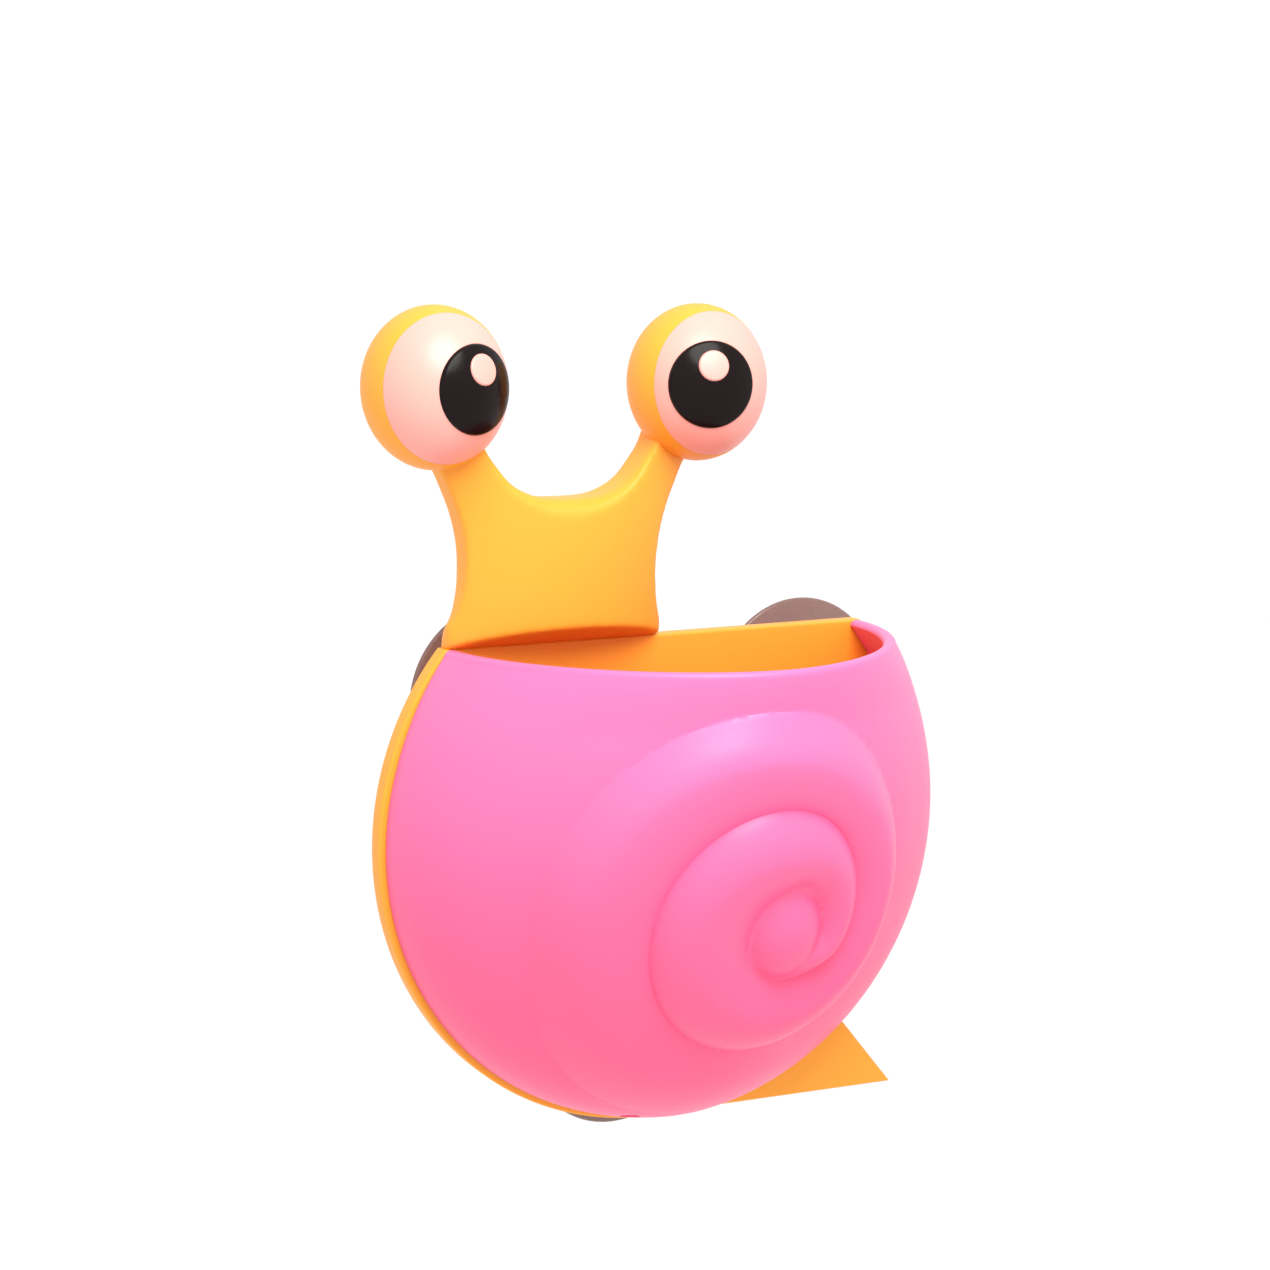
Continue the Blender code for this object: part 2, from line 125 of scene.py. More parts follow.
class SnailCupSettings(bpy.types.PropertyGroup):
    """The round cup and the spiral on its front"""

    radius: length("Radius", "Radius of the round cup", 59.4 * MM)
    depth: length("Depth", "How far the cup stands in front of the plate", 50.9 * MM)
    wall: length("Wall", "Thickness of the cup's wall", 2.2 * MM)
    deepest: length("Deepest Height", "Height at which the cup would be deepest", 6.3 * MM)
    relief: FloatProperty(
        name="Relief", description="Share of the spiral's full height", default=1.0, min=0, max=1.5
    )
    crease_soft: length("Band Rounding", "Widest rounding beside the spiral's crease", 9 * MM)
    columns: IntProperty(name="Columns", description="Faces across the cup", default=280, min=40, max=320)
    rows: IntProperty(name="Rows", description="Faces up the cup", default=230, min=40, max=260)


class SnailBackSettings(bpy.types.PropertyGroup):
    """The yellow back moulding"""

    lip: length("Lip", "How far the plate shows around the cup", 1.3 * MM)
    plate: length("Plate", "Thickness of the plate", 2.3 * MM)
    rim: length("Rim", "Thickness of the turned-back rim", 1.8 * MM)
    edge: length("Edge", "Rounding of the plate's edges", 0.55 * MM)
    neck_front: length("Neck Front", "How far the neck stands in front of the plate", 9.3 * MM)
    neck_round: length("Neck Rounding", "Rounding of the neck's edges", 3.8 * MM)
    wall: length("Neck Wall", "Wall of the hollow neck and eyes", 1.8 * MM)
    chin: turn("Chin Slope", "Slope of the chin above level", 21.5)
    rib: length("Rib", "Thickness of the ribs behind the plate", 1.6 * MM)


class SnailEyeSettings(bpy.types.PropertyGroup):
    """The two eyes"""

    radius: length("Radius", "Half width of an eye", 13.7 * MM)
    height: length("Half Height", "Half height of an eye", 15.25 * MM)
    wall: length("Wall", "Wall of the ivory cap", 2 * MM)
    split: length("Parting", "Distance of the parting line in front of the eye's middle", 5.8 * MM)
    pupil: length("Pupil", "Radius of the pupil", 8.3 * MM)
    pupil_proud: length("Pupil Proud", "How far the pupil stands over the cap", 0.45 * MM)
    glint: length("Glint", "Radius of the glint", 2.95 * MM)
    glint_proud: length("Glint Proud", "How far the glint stands over the cap", 0.75 * MM)
    glint_lift: turn("Glint Lift", "How high the glint sits above the pupil's middle", 15)
    look_left: turn("Left Look", "How far the left eye looks to the right", 18.3)
    look_right: turn("Right Look", "How far the right eye looks to the right", -14.7)


class SnailFixingSettings(bpy.types.PropertyGroup):
    """The suckers and the screws"""

    button: length("Button", "Radius of a sucker's button", 5.5 * MM)
    stem: length("Stem", "Radius of a sucker's stem", 3.1 * MM)
    head: length("Screw Head", "Radius of a screw's head", 2.8 * MM)
    shank: length("Screw Shank", "Radius of a screw's shank", 1.2 * MM)
    screw: length("Screw Length", "Length of a screw under its head", 10 * MM)


class SnailFinishSettings(bpy.types.PropertyGroup):
    """The mouldings' colours"""

    pink: colour("Pink", "Colour of the cup", (0.95, 0.106, 0.25))
    # Painted light: the cup's upper part is coloured paler, standing in for the overhead light that falls on it
    painted_top_light_pink: colour("Rim Pink", "Paler pink near the cup's rim", (0.95, 0.158, 0.375))
    yellow: colour("Yellow", "Colour of the back moulding", (0.92, 0.36, 0.032))
    ivory: colour("Ivory", "Colour of the eyes' caps and glints", (0.90, 0.36, 0.30))
    black: colour("Black", "Colour of the pupils", (0.006, 0.003, 0.003))
    smoke: colour("Smoke", "Colour of the soft suckers", (0.30, 0.17, 0.15))
    steel: colour("Steel", "Colour of the plated screws", (0.62, 0.60, 0.58))


class SnailStageSettings(bpy.types.PropertyGroup):
    """The studio: camera, lights and floor"""

    azimuth: turn("Azimuth", "Where the camera stands, around the holder", -27.21)
    elevation: turn("Elevation", "How high the camera stands", 8.36)
    distance: length("Distance", "Distance of the camera from the point it looks at", 474.74 * MM)
    lens: FloatProperty(
        name="Lens", description="Focal length in millimetres", default=68.03, subtype="DISTANCE_CAMERA"
    )
    surround: FloatProperty(
        name="Surround", description="Strength of the white surround", default=1.06, min=0
    )
    key: FloatProperty(
        name="Key Light", description="Power of the light overhead", default=1.3, min=0, unit="POWER"
    )


# ------------------------------------------------------------------ mesh helpers


def new_mesh(name, points, faces):
    mesh = bpy.data.meshes.new(name)
    mesh.from_pydata([tuple(point) for point in points], [], faces)
    mesh.update()
    return mesh


def merged(mesh, distance=0.002 * MM):
    """Doubles merged and normals pointing out."""
    bm = bmesh.new()
    bm.from_mesh(mesh)
    bmesh.ops.remove_doubles(bm, verts=bm.verts, dist=distance)
    bmesh.ops.dissolve_degenerate(bm, edges=bm.edges, dist=distance / 10)
    bmesh.ops.recalc_face_normals(bm, faces=bm.faces)
    bm.to_mesh(mesh)
    bm.free()
    return mesh


def linked(mesh, name="shape"):
    obj = bpy.data.objects.new(name, mesh)
    bpy.context.scene.collection.objects.link(obj)
    return obj


def settled(obj):
    """The plain mesh that an object's modifiers give; the object goes."""
    bpy.context.view_layer.update()
    graph = bpy.context.evaluated_depsgraph_get()
    mesh = bpy.data.meshes.new_from_object(obj.evaluated_get(graph))
    mesh.transform(obj.matrix_world)
    bpy.data.objects.remove(obj, do_unlink=True)
    return mesh


def carved(mesh, tools, solver="MANIFOLD"):
    """A mesh after each (operation, mesh) pair in turn."""
    obj = linked(mesh)
    helpers = []
    for operation, other in tools:
        helper = linked(other, "cutter")
        helper.hide_render = True
        helpers.append(helper)
        modifier = obj.modifiers.new("Boolean", "BOOLEAN")
        modifier.operation = operation
        modifier.solver = solver
        modifier.object = helper
    result = settled(obj)
    for helper in helpers:
        bpy.data.objects.remove(helper, do_unlink=True)
    if not result.polygons:
        raise RuntimeError("A piece came out empty when it was carved")
    return result


def grid_faces(rows, columns, wrap=False):
    """Quads of a grid of rows of columns points, in row order."""
    last = columns if wrap else columns - 1
    return [
        (row * columns + i, row * columns + (i + 1) % columns,
         (row + 1) * columns + (i + 1) % columns, (row + 1) * columns + i)
        for row in range(rows - 1)
        for i in range(last)
    ]


def turned(profile, centre=(0, 0, 0), steps=96, stretch=1.0):
    """A closed form: an open (radius, y) profile with both ends on the axis, turned about Y."""
    radii, heights = np.array(profile).T
    angles = np.arange(steps) * 2 * pi / steps
    points = np.stack(
        [
            np.outer(radii, np.cos(angles)),
            np.repeat(heights[:, None], steps, axis=1),
            np.outer(radii, np.sin(angles)) * stretch,
        ],
        axis=-1,
    ).reshape(-1, 3)
    mesh = new_mesh("turned", points + np.array(centre), grid_faces(len(radii), steps, wrap=True))
    return merged(mesh)


def rounded(profile, radius, steps=4):
    """The same open profile with its inner corners rounded by short arcs."""
    points = [Vector(point) for point in profile]
    result = [points[0]]
    for before, corner, after in zip(points, points[1:], points[2:]):
        back, ahead = before - corner, after - corner
        reach = min(radius, back.length * 0.45, ahead.length * 0.45)
        start = corner + back.normalized() * reach
        end = corner + ahead.normalized() * reach
        for step in range(steps + 1):
            t = step / steps
            result.append(start * (1 - t) ** 2 + corner * 2 * t * (1 - t) + end * t**2)
    result.append(points[-1])
    return [tuple(point) for point in result]


def rod(centre, direction, radius, depth, steps=48):
    """A solid cylinder from centre along direction."""
    bm = bmesh.new()
    bmesh.ops.create_cone(bm, cap_ends=True, segments=steps, radius1=radius, radius2=radius, depth=depth)
    bmesh.ops.translate(bm, vec=(0, 0, depth / 2), verts=bm.verts)
    spin = Vector((0, 0, 1)).rotation_difference(Vector(direction)).to_matrix()
    bmesh.ops.rotate(bm, cent=(0, 0, 0), matrix=spin, verts=bm.verts)
    bmesh.ops.translate(bm, vec=centre, verts=bm.verts)
    mesh = bpy.data.meshes.new("rod")
    bm.to_mesh(mesh)
    bm.free()
    return mesh


def block(low, high):
    bm = bmesh.new()
    bmesh.ops.create_cube(bm, size=1)
    size = Vector(high) - Vector(low)
    bmesh.ops.scale(bm, vec=size, verts=bm.verts)
    bmesh.ops.translate(bm, vec=Vector(low) + size / 2, verts=bm.verts)
    mesh = bpy.data.meshes.new("block")
    bm.to_mesh(mesh)
    bm.free()
    return mesh


def outline_curve(front, back, edge, inset):
    """A flat curve that stands for a plate between two values of y, with rounded edges."""
    data = bpy.data.curves.new("outline", "CURVE")
    data.dimensions = "2D"
    data.fill_mode = "BOTH"
    data.extrude = (back - front) / 2 - edge
    data.bevel_depth = edge
    data.bevel_resolution = 4
    data.offset = -edge - inset
    return data


def stood_up(data, front, back):
    """The closed mesh of a flat curve, facing along Y."""
    obj = linked(data, "outline")
    obj.matrix_world = Matrix.Translation((0, (front + back) / 2, 0)) @ Matrix.Rotation(pi / 2, 4, "X")
    return merged(settled(obj), 0.01 * MM)


def slab(points, front, back, edge=0.0, inset=0.0):
    """A plate of a closed outline of (x, z) points, between two values of y."""
    data = outline_curve(front, back, edge, inset)
    spline = data.splines.new("POLY")
    spline.points.add(len(points) - 1)
    for point, (x, z) in zip(spline.points, points):
        point.co = (x, z, 0, 1)
    spline.use_cyclic_u = True
    return stood_up(data, front, back)


def egg(centre, size, grow=0.0, columns=96, rows=64):
    """An ellipsoid with its poles front and back, larger or smaller all round by grow."""
    angles = np.linspace(0, pi, rows + 1)
    profile = [(sin(angle) * (size.x + grow), -cos(angle) * (size.y + grow)) for angle in angles]
    profile[0], profile[-1] = (0, profile[0][1]), (0, profile[-1][1])
    return turned(profile, centre, columns, (size.z + grow) / (size.x + grow))


def finished(name, mesh, finish, body, nodes, sharp=32):
    """A finished piece on its body, in place of its CAD nodes."""
    mesh.name = name
    mesh.materials.clear()
    mesh.materials.append(finish)
    mesh.shade_smooth()
    mesh.set_sharp_from_angle(angle=radians(sharp))
    obj = linked(mesh, name)
    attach(obj, body)
    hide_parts(*nodes)
    return obj


# ------------------------------------------------------------------ node helpers


class Tree:
    """A short way to place and link nodes."""

    def __init__(self, tree):
        self.tree = tree

    def node(self, kind, settings=None, **inputs):
        made = self.tree.nodes.new(kind)
        made.location = (220 * len(self.tree.nodes), 0)
        for key, value in (settings or {}).items():
            setattr(made, key, value)
        for key, value in inputs.items():
            self.put(made, key, value)
        return made

    def put(self, node, key, value):
        """Sets or links the input whose name is key, with _ for a space, or whose number follows an i."""
        if key[0] == "i" and key[1:].isdigit():
            socket = node.inputs[int(key[1:])]
        else:
            socket = next(s for s in node.inputs if s.enabled and s.name == key.replace("_", " "))
        if isinstance(value, bpy.types.NodeSocket):
            self.tree.links.new(value, socket)
        else:
            socket.default_value = value


def nodes_modifier(obj, tree, **values):
    """Adds a Geometry Nodes modifier and sets its inputs by their sockets' identifiers."""
    modifier = obj.modifiers.new(tree.name, "NODES")
    modifier.node_group = tree
    for item in tree.interface.items_tree:
        if item.item_type == "SOCKET" and item.in_out == "INPUT" and item.name in values:
            modifier[item.identifier] = values[item.name]
    return modifier


def geometry_tree(name, inputs):
    """A new Geometry Nodes tree with a geometry input and output and the named inputs."""
    tree = bpy.data.node_groups.new(name, "GeometryNodeTree")
    tree.interface.new_socket("Geometry", in_out="INPUT", socket_type="NodeSocketGeometry")
    for label, (kind, default) in inputs.items():
        socket = tree.interface.new_socket(label, in_out="INPUT", socket_type="NodeSocket" + kind)
        if default is not None:
            socket.default_value = default
    tree.interface.new_socket("Geometry", in_out="OUTPUT", socket_type="NodeSocketGeometry")
    return tree


# ------------------------------------------------------------------ finishes


def finish_material(name, base, deep, roughness, grain, grain_depth, wave_depth, mottle=0.5, rim=None):
    """A moulded finish: faint mottle, uneven gloss, fine grain and slow waves in its surface, with an optional
    painted top light that pales the colour towards the top.
    """
    made = bpy.data.materials.new(name)
    made.use_nodes = True
    shader = made.node_tree.nodes["Principled BSDF"]
    tree = Tree(made.node_tree)
    place = tree.node("ShaderNodeTexCoord").outputs["Object"]
    cloud = tree.node("ShaderNodeTexNoise", Vector=place, Scale=38.0, Detail=4.0, Roughness=0.6)
    blend = tree.node(
        "ShaderNodeMapRange", Value=cloud.outputs["Fac"], From_Min=0.3, From_Max=0.7, To_Max=mottle
    )
    tint = tree.node("ShaderNodeMix", {"data_type": "RGBA"}, Factor=blend.outputs[0])
    tint.inputs[6].default_value = (*base, 1)
    tint.inputs[7].default_value = (*deep, 1)
    painted = tint.outputs[2]
    # Painted light: when rim is given, the colour turns paler towards the top (object z), standing in for light
    # falling from above
    if rim:
        height = tree.node("ShaderNodeSeparateXYZ", Vector=place)
        low, high = rim[:2]
        share = tree.node(
            "ShaderNodeMapRange",
            {"interpolation_type": "SMOOTHSTEP"},
            Value=height.outputs[2],
            From_Min=low,
            From_Max=high,
        )
        painted_top_light_mix = tree.node("ShaderNodeMix", {"data_type": "RGBA"}, Factor=share.outputs[0])
        made.node_tree.links.new(painted, painted_top_light_mix.inputs[6])
        painted_top_light_mix.inputs[7].default_value = (*rim[2], 1)
        painted = painted_top_light_mix.outputs[2]
    speck = tree.node("ShaderNodeTexNoise", Vector=place, Scale=900.0, Detail=3.0, Roughness=0.7)
    low, high = roughness
    gloss = tree.node(
        "ShaderNodeMapRange",
        Value=speck.outputs["Fac"],
        From_Min=0.25,
        From_Max=0.75,
        To_Min=low,
        To_Max=high,
    )
    fine = tree.node("ShaderNodeTexNoise", Vector=place, Scale=grain, Detail=5.0, Roughness=0.55)
    slow = tree.node("ShaderNodeTexNoise", Vector=place, Scale=26.0, Detail=1.0)
    first = tree.node("ShaderNodeBump", Height=slow.outputs["Fac"], Strength=1.0, Distance=wave_depth)
    second = tree.node(
        "ShaderNodeBump",
        Height=fine.outputs["Fac"],
        Strength=1.0,
        Distance=grain_depth,
        Normal=first.outputs["Normal"],
    )
    links = made.node_tree.links
    links.new(painted, shader.inputs["Base Color"])
    links.new(gloss.outputs[0], shader.inputs["Roughness"])
    links.new(second.outputs["Normal"], shader.inputs["Normal"])
    return made, shader


def scaled_colour(colour_value, scale):
    return tuple(min(channel * scale, 1) for channel in colour_value)


def pink_finish():
    colours = bpy.context.scene.snail_finish
    base = colours.pink
    # Painted light: the pink pales from low on the cup up to the rim, a painted top light
    rim = (CUP_LOW.z + 15 * MM, CUP_HIGH.z, colours.painted_top_light_pink)
    made, shader = finish_material(
        "pink_moulding", base, scaled_colour(base, 0.96), (0.34, 0.44), 2600.0, 0.006 * MM, 0.03 * MM, rim=rim
    )
    shader.inputs["Specular IOR Level"].default_value = 0.4
    return made


def yellow_finish():
    base = bpy.context.scene.snail_finish.yellow
    made, shader = finish_material(
        "yellow_moulding", base, scaled_colour(base, 0.95), (0.38, 0.50), 2600.0, 0.006 * MM, 0.03 * MM
    )
    shader.inputs["Specular IOR Level"].default_value = 0.3
    return made


def ivory_finish(name):
    base = bpy.context.scene.snail_finish.ivory
    made, shader = finish_material(
        name, base, scaled_colour(base, 0.97), (0.30, 0.40), 3000.0, 0.004 * MM, 0.02 * MM
    )
    shader.inputs["Specular IOR Level"].default_value = 0.5
    return made


def black_finish():
    base = bpy.context.scene.snail_finish.black
    made, shader = finish_material(
        "black_gloss", base, scaled_colour(base, 1.6), (0.16, 0.26), 3200.0, 0.003 * MM, 0.02 * MM
    )
    shader.inputs["Specular IOR Level"].default_value = 0.12
    return made


def sucker_finish():
    base = bpy.context.scene.snail_finish.smoke
    made, shader = finish_material(
        "soft_sucker", base, scaled_colour(base, 0.8), (0.22, 0.34), 2400.0, 0.006 * MM, 0.04 * MM
    )
    shader.inputs["Transmission Weight"].default_value = 0.35
    shader.inputs["IOR"].default_value = 1.5
    return made


def screw_finish():
    base = bpy.context.scene.snail_finish.steel
    made, shader = finish_material(
        "screw_steel", base, scaled_colour(base, 0.8), (0.25, 0.42), 5200.0, 0.004 * MM, 0.01 * MM
    )
    shader.inputs["Metallic"].default_value = 1.0
    return made


# ------------------------------------------------------------------ cup

FRONT_POWER = 0.9
FRONT_ROOT = 1 / 1.77
FRONT_SOFT = 0.01
SIDE_POWER = 2.02
OPENING = 1.2 * MM
OPENING_HEIGHT = 25.5 * MM

# The spiral runs outwards, counter-clockwise from the front. Angles are in radians.
SPIRAL_START = 0.72
SPIRAL_FADE = 15.6
SPIRAL_END = 17.8
SPIRAL_RISE = 1.6
SPIRAL_SQUEEZE = 0.945
SPIRAL_REACH = (4.28 * MM, 1.949 * MM, 0.036 * MM)
SPIRAL_MIDDLE = (6.71 * MM, -50.86 * MM)
SPIRAL_DRIFT = (-0.512 * MM, 0.302 * MM)
SPIRAL_HEIGHTS = (3.3 * MM, 4.2 * MM)
SPIRAL_FLOOR = 0.5 * MM
SPIRAL_GROWS = 4.3
SPIRAL_SUNK = 1.25 * MM
SUNK_UNDER_RIM = 13 * MM
SUNK_FROM_EDGE = 18 * MM
SPIRAL_BLURS = 11.2
KNOB_MIDDLE = (5.2 * MM, -52.7 * MM)
KNOB_SIZE = (8.3 * MM, 9.4 * MM)
KNOB_POWER = 0.9
KNOB_HEIGHT = 4.3 * MM
KNOB_TUCK = 1.8 * MM
KNOB_TUCK_ANGLE = 3.9
KNOB_REACH = 8.4 * MM
KNOB_BLEND = 0.6 * MM
CREASE_SHARE = 0.55
CLIMB_POWER = 0.85
DECAY_POWER = 1.5
BLUR_SHARE = 0.45
BLUR_SPAN = 2.5
RIM_STEPS = 8


def front_crown(side):
    low = FRONT_SOFT**FRONT_POWER
    fall = ((side**2 + FRONT_SOFT) ** FRONT_POWER - low) / ((1 + FRONT_SOFT) ** FRONT_POWER - low)
    return np.maximum(1 - fall, 0) ** FRONT_ROOT


def cup_half_width(z, radius):
    opening = np.clip(1 + z / OPENING_HEIGHT, 0, 1)
    return np.sqrt(np.maximum(radius**2 - (z - CUP_CENTRE_Z) ** 2, 0)) + OPENING * opening**2


def cup_surface(side, z, radius, depth, deepest):
    """Points of the cup's form, for shares across from -1 to 1 and heights."""
    half = cup_half_width(z, radius)
    bottom = CUP_CENTRE_Z - radius
    reach = np.clip(np.abs(z - deepest) / (deepest - bottom), 0, 1)
    profile = np.maximum(1 - reach**SIDE_POWER, 0) ** (1 / SIDE_POWER)
    forward = np.maximum(depth * profile * front_crown(side), PLATE_FACE - CUP_BACK)
    return np.stack([half * side, PLATE_FACE - forward, z * np.ones_like(side)], axis=-1)


def spiral_pass(x, z, lap):
    """One turn of the spiral at each point: angle, reach, how far inside the point lies, and place."""
    middle_x, middle_z = SPIRAL_MIDDLE
    bearing = np.arctan2(z - middle_z, (x - middle_x) / SPIRAL_SQUEEZE)
    angle = SPIRAL_START + (bearing - SPIRAL_START) % (2 * pi) + 2 * pi * lap
    for _ in range(12):
        across = (x - middle_x - SPIRAL_DRIFT[0] * (angle - SPIRAL_START)) / SPIRAL_SQUEEZE
        up = z - middle_z - SPIRAL_DRIFT[1] * (angle - SPIRAL_START)
        bearing = np.arctan2(up, across)
        angle = bearing + 2 * pi * np.round((angle - bearing) / (2 * pi))
    reach = SPIRAL_REACH[0] + SPIRAL_REACH[1] * angle + SPIRAL_REACH[2] * angle**2
    reach -= KNOB_TUCK * np.exp(-(((angle - KNOB_TUCK_ANGLE) / 2) ** 2))
    distance = np.hypot(across, up)
    grown = reach / np.maximum(distance, 0.01 * MM)
    on_x = x + (grown - 1) * across * SPIRAL_SQUEEZE
    return angle, reach, reach - distance, (on_x, z + (grown - 1) * up)


def smooth_step(value):
    share = np.clip(value, 0, 1)
    return share**2 * (3 - 2 * share)


def knob_dome(x, z):
    """The rounded knob that the spiral grows out of."""
    spread = ((x - KNOB_MIDDLE[0]) / KNOB_SIZE[0]) ** 2 + ((z - KNOB_MIDDLE[1]) / KNOB_SIZE[1]) ** 2
    return KNOB_HEIGHT * np.maximum(1 - spread, 0) ** KNOB_POWER


def spiral_relief(x, z, soft):
    """Height of the spiral over the cup's plain form."""
    laps = [spiral_pass(x, z, lap) for lap in range(-1, 4)]
    height = np.zeros_like(x)
    done = np.zeros(x.shape, bool)

    def floor_of(angle):
        return np.interp(angle, [SPIRAL_START + 2 * pi, SPIRAL_FADE], [SPIRAL_FLOOR, 0])

    for before, this in zip(laps, laps[1:]):
        angle, reach, inside, _ = this
        real = (angle >= SPIRAL_START) & (angle <= SPIRAL_END) & (inside >= 0) & ~done
        grown = smooth_step((angle - SPIRAL_GROWS) / SPIRAL_RISE)
        parted = smooth_step((before[0] - SPIRAL_START) / SPIRAL_RISE)
        width = (reach - KNOB_REACH * grown) * (1 - parted) + (inside - before[2]) * parted
        width = np.maximum(width, 1 * MM)
        crease = np.minimum(CREASE_SHARE * width, soft)
        full = np.interp(angle, [SPIRAL_START, SPIRAL_FADE, SPIRAL_END], [*SPIRAL_HEIGHTS, 0]) * grown
        floor, inner_floor = floor_of(angle), floor_of(before[0])
        crisp = 1 - (1 - np.clip(inside / crease, 0, 1)) ** 2
        blurred = smooth_step(inside / crease)
        share = BLUR_SHARE * smooth_step((angle - SPIRAL_BLURS) / BLUR_SPAN)
        climb = crisp**CLIMB_POWER * (1 - share) + blurred * share
        decay = np.clip((inside - crease) / (width - crease), 0, 1) ** DECAY_POWER * grown
        level = floor + full * climb - (floor + full - inner_floor) * decay
        height = np.where(real, level, height)
        done |= real
    dome = knob_dome(x, z)
    blend = KNOB_BLEND * dome / KNOB_HEIGHT
    raised = (height + dome + np.sqrt((height - dome) ** 2 + blend**2)) / 2
    from_edge = CUP_HIGH.x - np.hypot(x, z - CUP_CENTRE_Z)
    return raised - SPIRAL_SUNK * smooth_step(-z / SUNK_UNDER_RIM) * smooth_step(from_edge / SUNK_FROM_EDGE)


def snapped(points, form):
    """Moves the grid's nearest points onto the spiral's crease. Also gives the points that were moved."""
    moved = np.zeros(points.shape[:2], bool)
    x, z = points[..., 0], points[..., 2]
    for lap in range(4):
        angle, _, inside, (on_x, on_z) = spiral_pass(x, z, lap)
        live = (angle > SPIRAL_START + 0.25) & (angle < SPIRAL_END - 0.5) & (np.abs(inside) < 2 * MM)
        chosen = np.zeros_like(moved)
        for here, there in (
            ((slice(None, -1), slice(None)), (slice(1, None), slice(None))),
            ((slice(None), slice(None, -1)), (slice(None), slice(1, None))),
        ):
            crosses = live[here] & live[there] & ((inside[here] > 0) != (inside[there] > 0))
            nearer = np.abs(inside[here]) <= np.abs(inside[there])
            chosen[here] |= crosses & nearer
            chosen[there] |= crosses & ~nearer
        chosen &= ~moved
        if chosen.any():
            new_x, new_z = on_x[chosen], on_z[chosen]
            points[chosen] = cup_surface(new_x / cup_half_width(new_z, form[0]), new_z, *form)
        moved |= chosen
    return moved


def creased_faces(moved):
    """Quads of a grid, split where the crease runs through two opposite corners."""
    rows, columns = moved.shape
    faces = []
    for a, b, c, d in grid_faces(rows, columns):
        on = [moved.flat[i] for i in (a, b, c, d)]
        if on[0] and on[2] and not (on[1] or on[3]):
            faces += [(a, b, c), (a, c, d)]
        elif on[1] and on[3] and not (on[0] or on[2]):
            faces += [(a, b, d), (b, c, d)]
        else:
            faces.append((a, b, c, d))
    return faces


def cup_shell(cup, columns, rows):
    """The thin shell as one closed grid: outer wall, rounded rim, and a coarser inner wall."""
    rim = cup.wall / 2
    sides = np.sin(np.linspace(-pi / 2, pi / 2, columns + 1))
    inner_sides = sides[::2]

    def wall_rows(radius, depth, across, count):
        low, high = -pi / 2, asin((-rim - CUP_CENTRE_Z) / radius)
        heights = CUP_CENTRE_Z + radius * np.sin(np.linspace(low, high, count + 1))
        return [cup_surface(across, z, radius, depth, cup.deepest) for z in heights]

    form = (cup.radius, cup.depth, cup.deepest)
    outer = np.array(wall_rows(cup.radius, cup.depth, sides, rows))
    moved = np.zeros((rows + 1 + RIM_STEPS, columns + 1), bool)
    moved[: rows + 1] = snapped(outer, form)
    outer = list(outer)
    inner = wall_rows(cup.radius - cup.wall, cup.depth - cup.wall, inner_sides, rows // 2)[::-1]
    inner_edge = cup_surface(sides, -rim, cup.radius - cup.wall, cup.depth - cup.wall, cup.deepest)
    middle, half = (outer[-1] + inner_edge) / 2, (outer[-1] - inner_edge) / 2
    lip = []
    for step in range(1, RIM_STEPS + 1):
        angle = pi * step / RIM_STEPS
        lip.append(middle + half * cos(angle) + np.array([0, 0, rim * sin(angle)]))
    fine = outer + lip
    width = columns + 1
    points = np.concatenate([np.concatenate(fine), np.concatenate(inner)])
    faces = creased_faces(moved)
    base = len(fine) * width
    inner_width = len(inner_sides)
    faces += [tuple(base + i for i in face) for face in grid_faces(len(inner), inner_width)]
    last = base - width
    for i in range(inner_width - 1):
        faces.append((last + 2 * i, last + 2 * i + 1, last + 2 * i + 2, base + i + 1, base + i))
    # The flat back edge: two strips that meet under the cup
    for fine_column, inner_column in ((0, 0), (columns, inner_width - 1)):
        def fine_at(row):
            return row * width + fine_column
        def inner_at(row):
            return base + (len(inner) - 1 - row) * inner_width + inner_column
        for row in range(rows // 2):
            faces.append(
                (fine_at(2 * row), fine_at(2 * row + 1), fine_at(2 * row + 2), inner_at(row + 1), inner_at(row)),
            )
        rim_loop = [fine_at(row) for row in range(rows, len(fine))]
        faces.append(tuple(rim_loop + [inner_at(rows // 2)]))
    walls = np.ones(len(points))
    walls[base:] = -1
    ramp = np.cos(np.linspace(0, pi, RIM_STEPS + 1))[1:]
    for step in range(RIM_STEPS):
        start = (len(outer) + step) * width
        walls[start:start + width] = ramp[step]
    return points, faces, walls


def relief_tree():
    """Geometry Nodes: raises the spiral out of the cup's plain form, along its normals."""
    tree = geometry_tree("Raised Spiral", {"Height": ("Float", 1.0), "Finish": ("Material", None)})
    make = Tree(tree)
    source = make.node("NodeGroupInput")
    relief = make.node("GeometryNodeInputNamedAttribute", {"data_type": "FLOAT"}, Name="spiral_height")
    amount = make.node(
        "ShaderNodeMath", {"operation": "MULTIPLY"}, i0=relief.outputs[0], i1=source.outputs["Height"]
    )
    normal = make.node("GeometryNodeInputNormal")
    push = make.node(
        "ShaderNodeVectorMath", {"operation": "SCALE"}, i0=normal.outputs[0], Scale=amount.outputs[0]
    )
    moved = make.node("GeometryNodeSetPosition", Geometry=source.outputs["Geometry"], Offset=push.outputs[0])
    cleared = make.node("GeometryNodeRemoveAttribute", Geometry=moved.outputs[0], Name="spiral_height")
    real = make.node("GeometryNodeRealizeInstances", Geometry=cleared.outputs[0])
    painted = make.node(
        "GeometryNodeSetMaterial", Geometry=real.outputs[0], Material=source.outputs["Finish"]
    )
    make.node("NodeGroupOutput", Geometry=painted.outputs[0])
    return tree


def screw_places():
    return [box_middle(node) for node in SCREW_NODES]


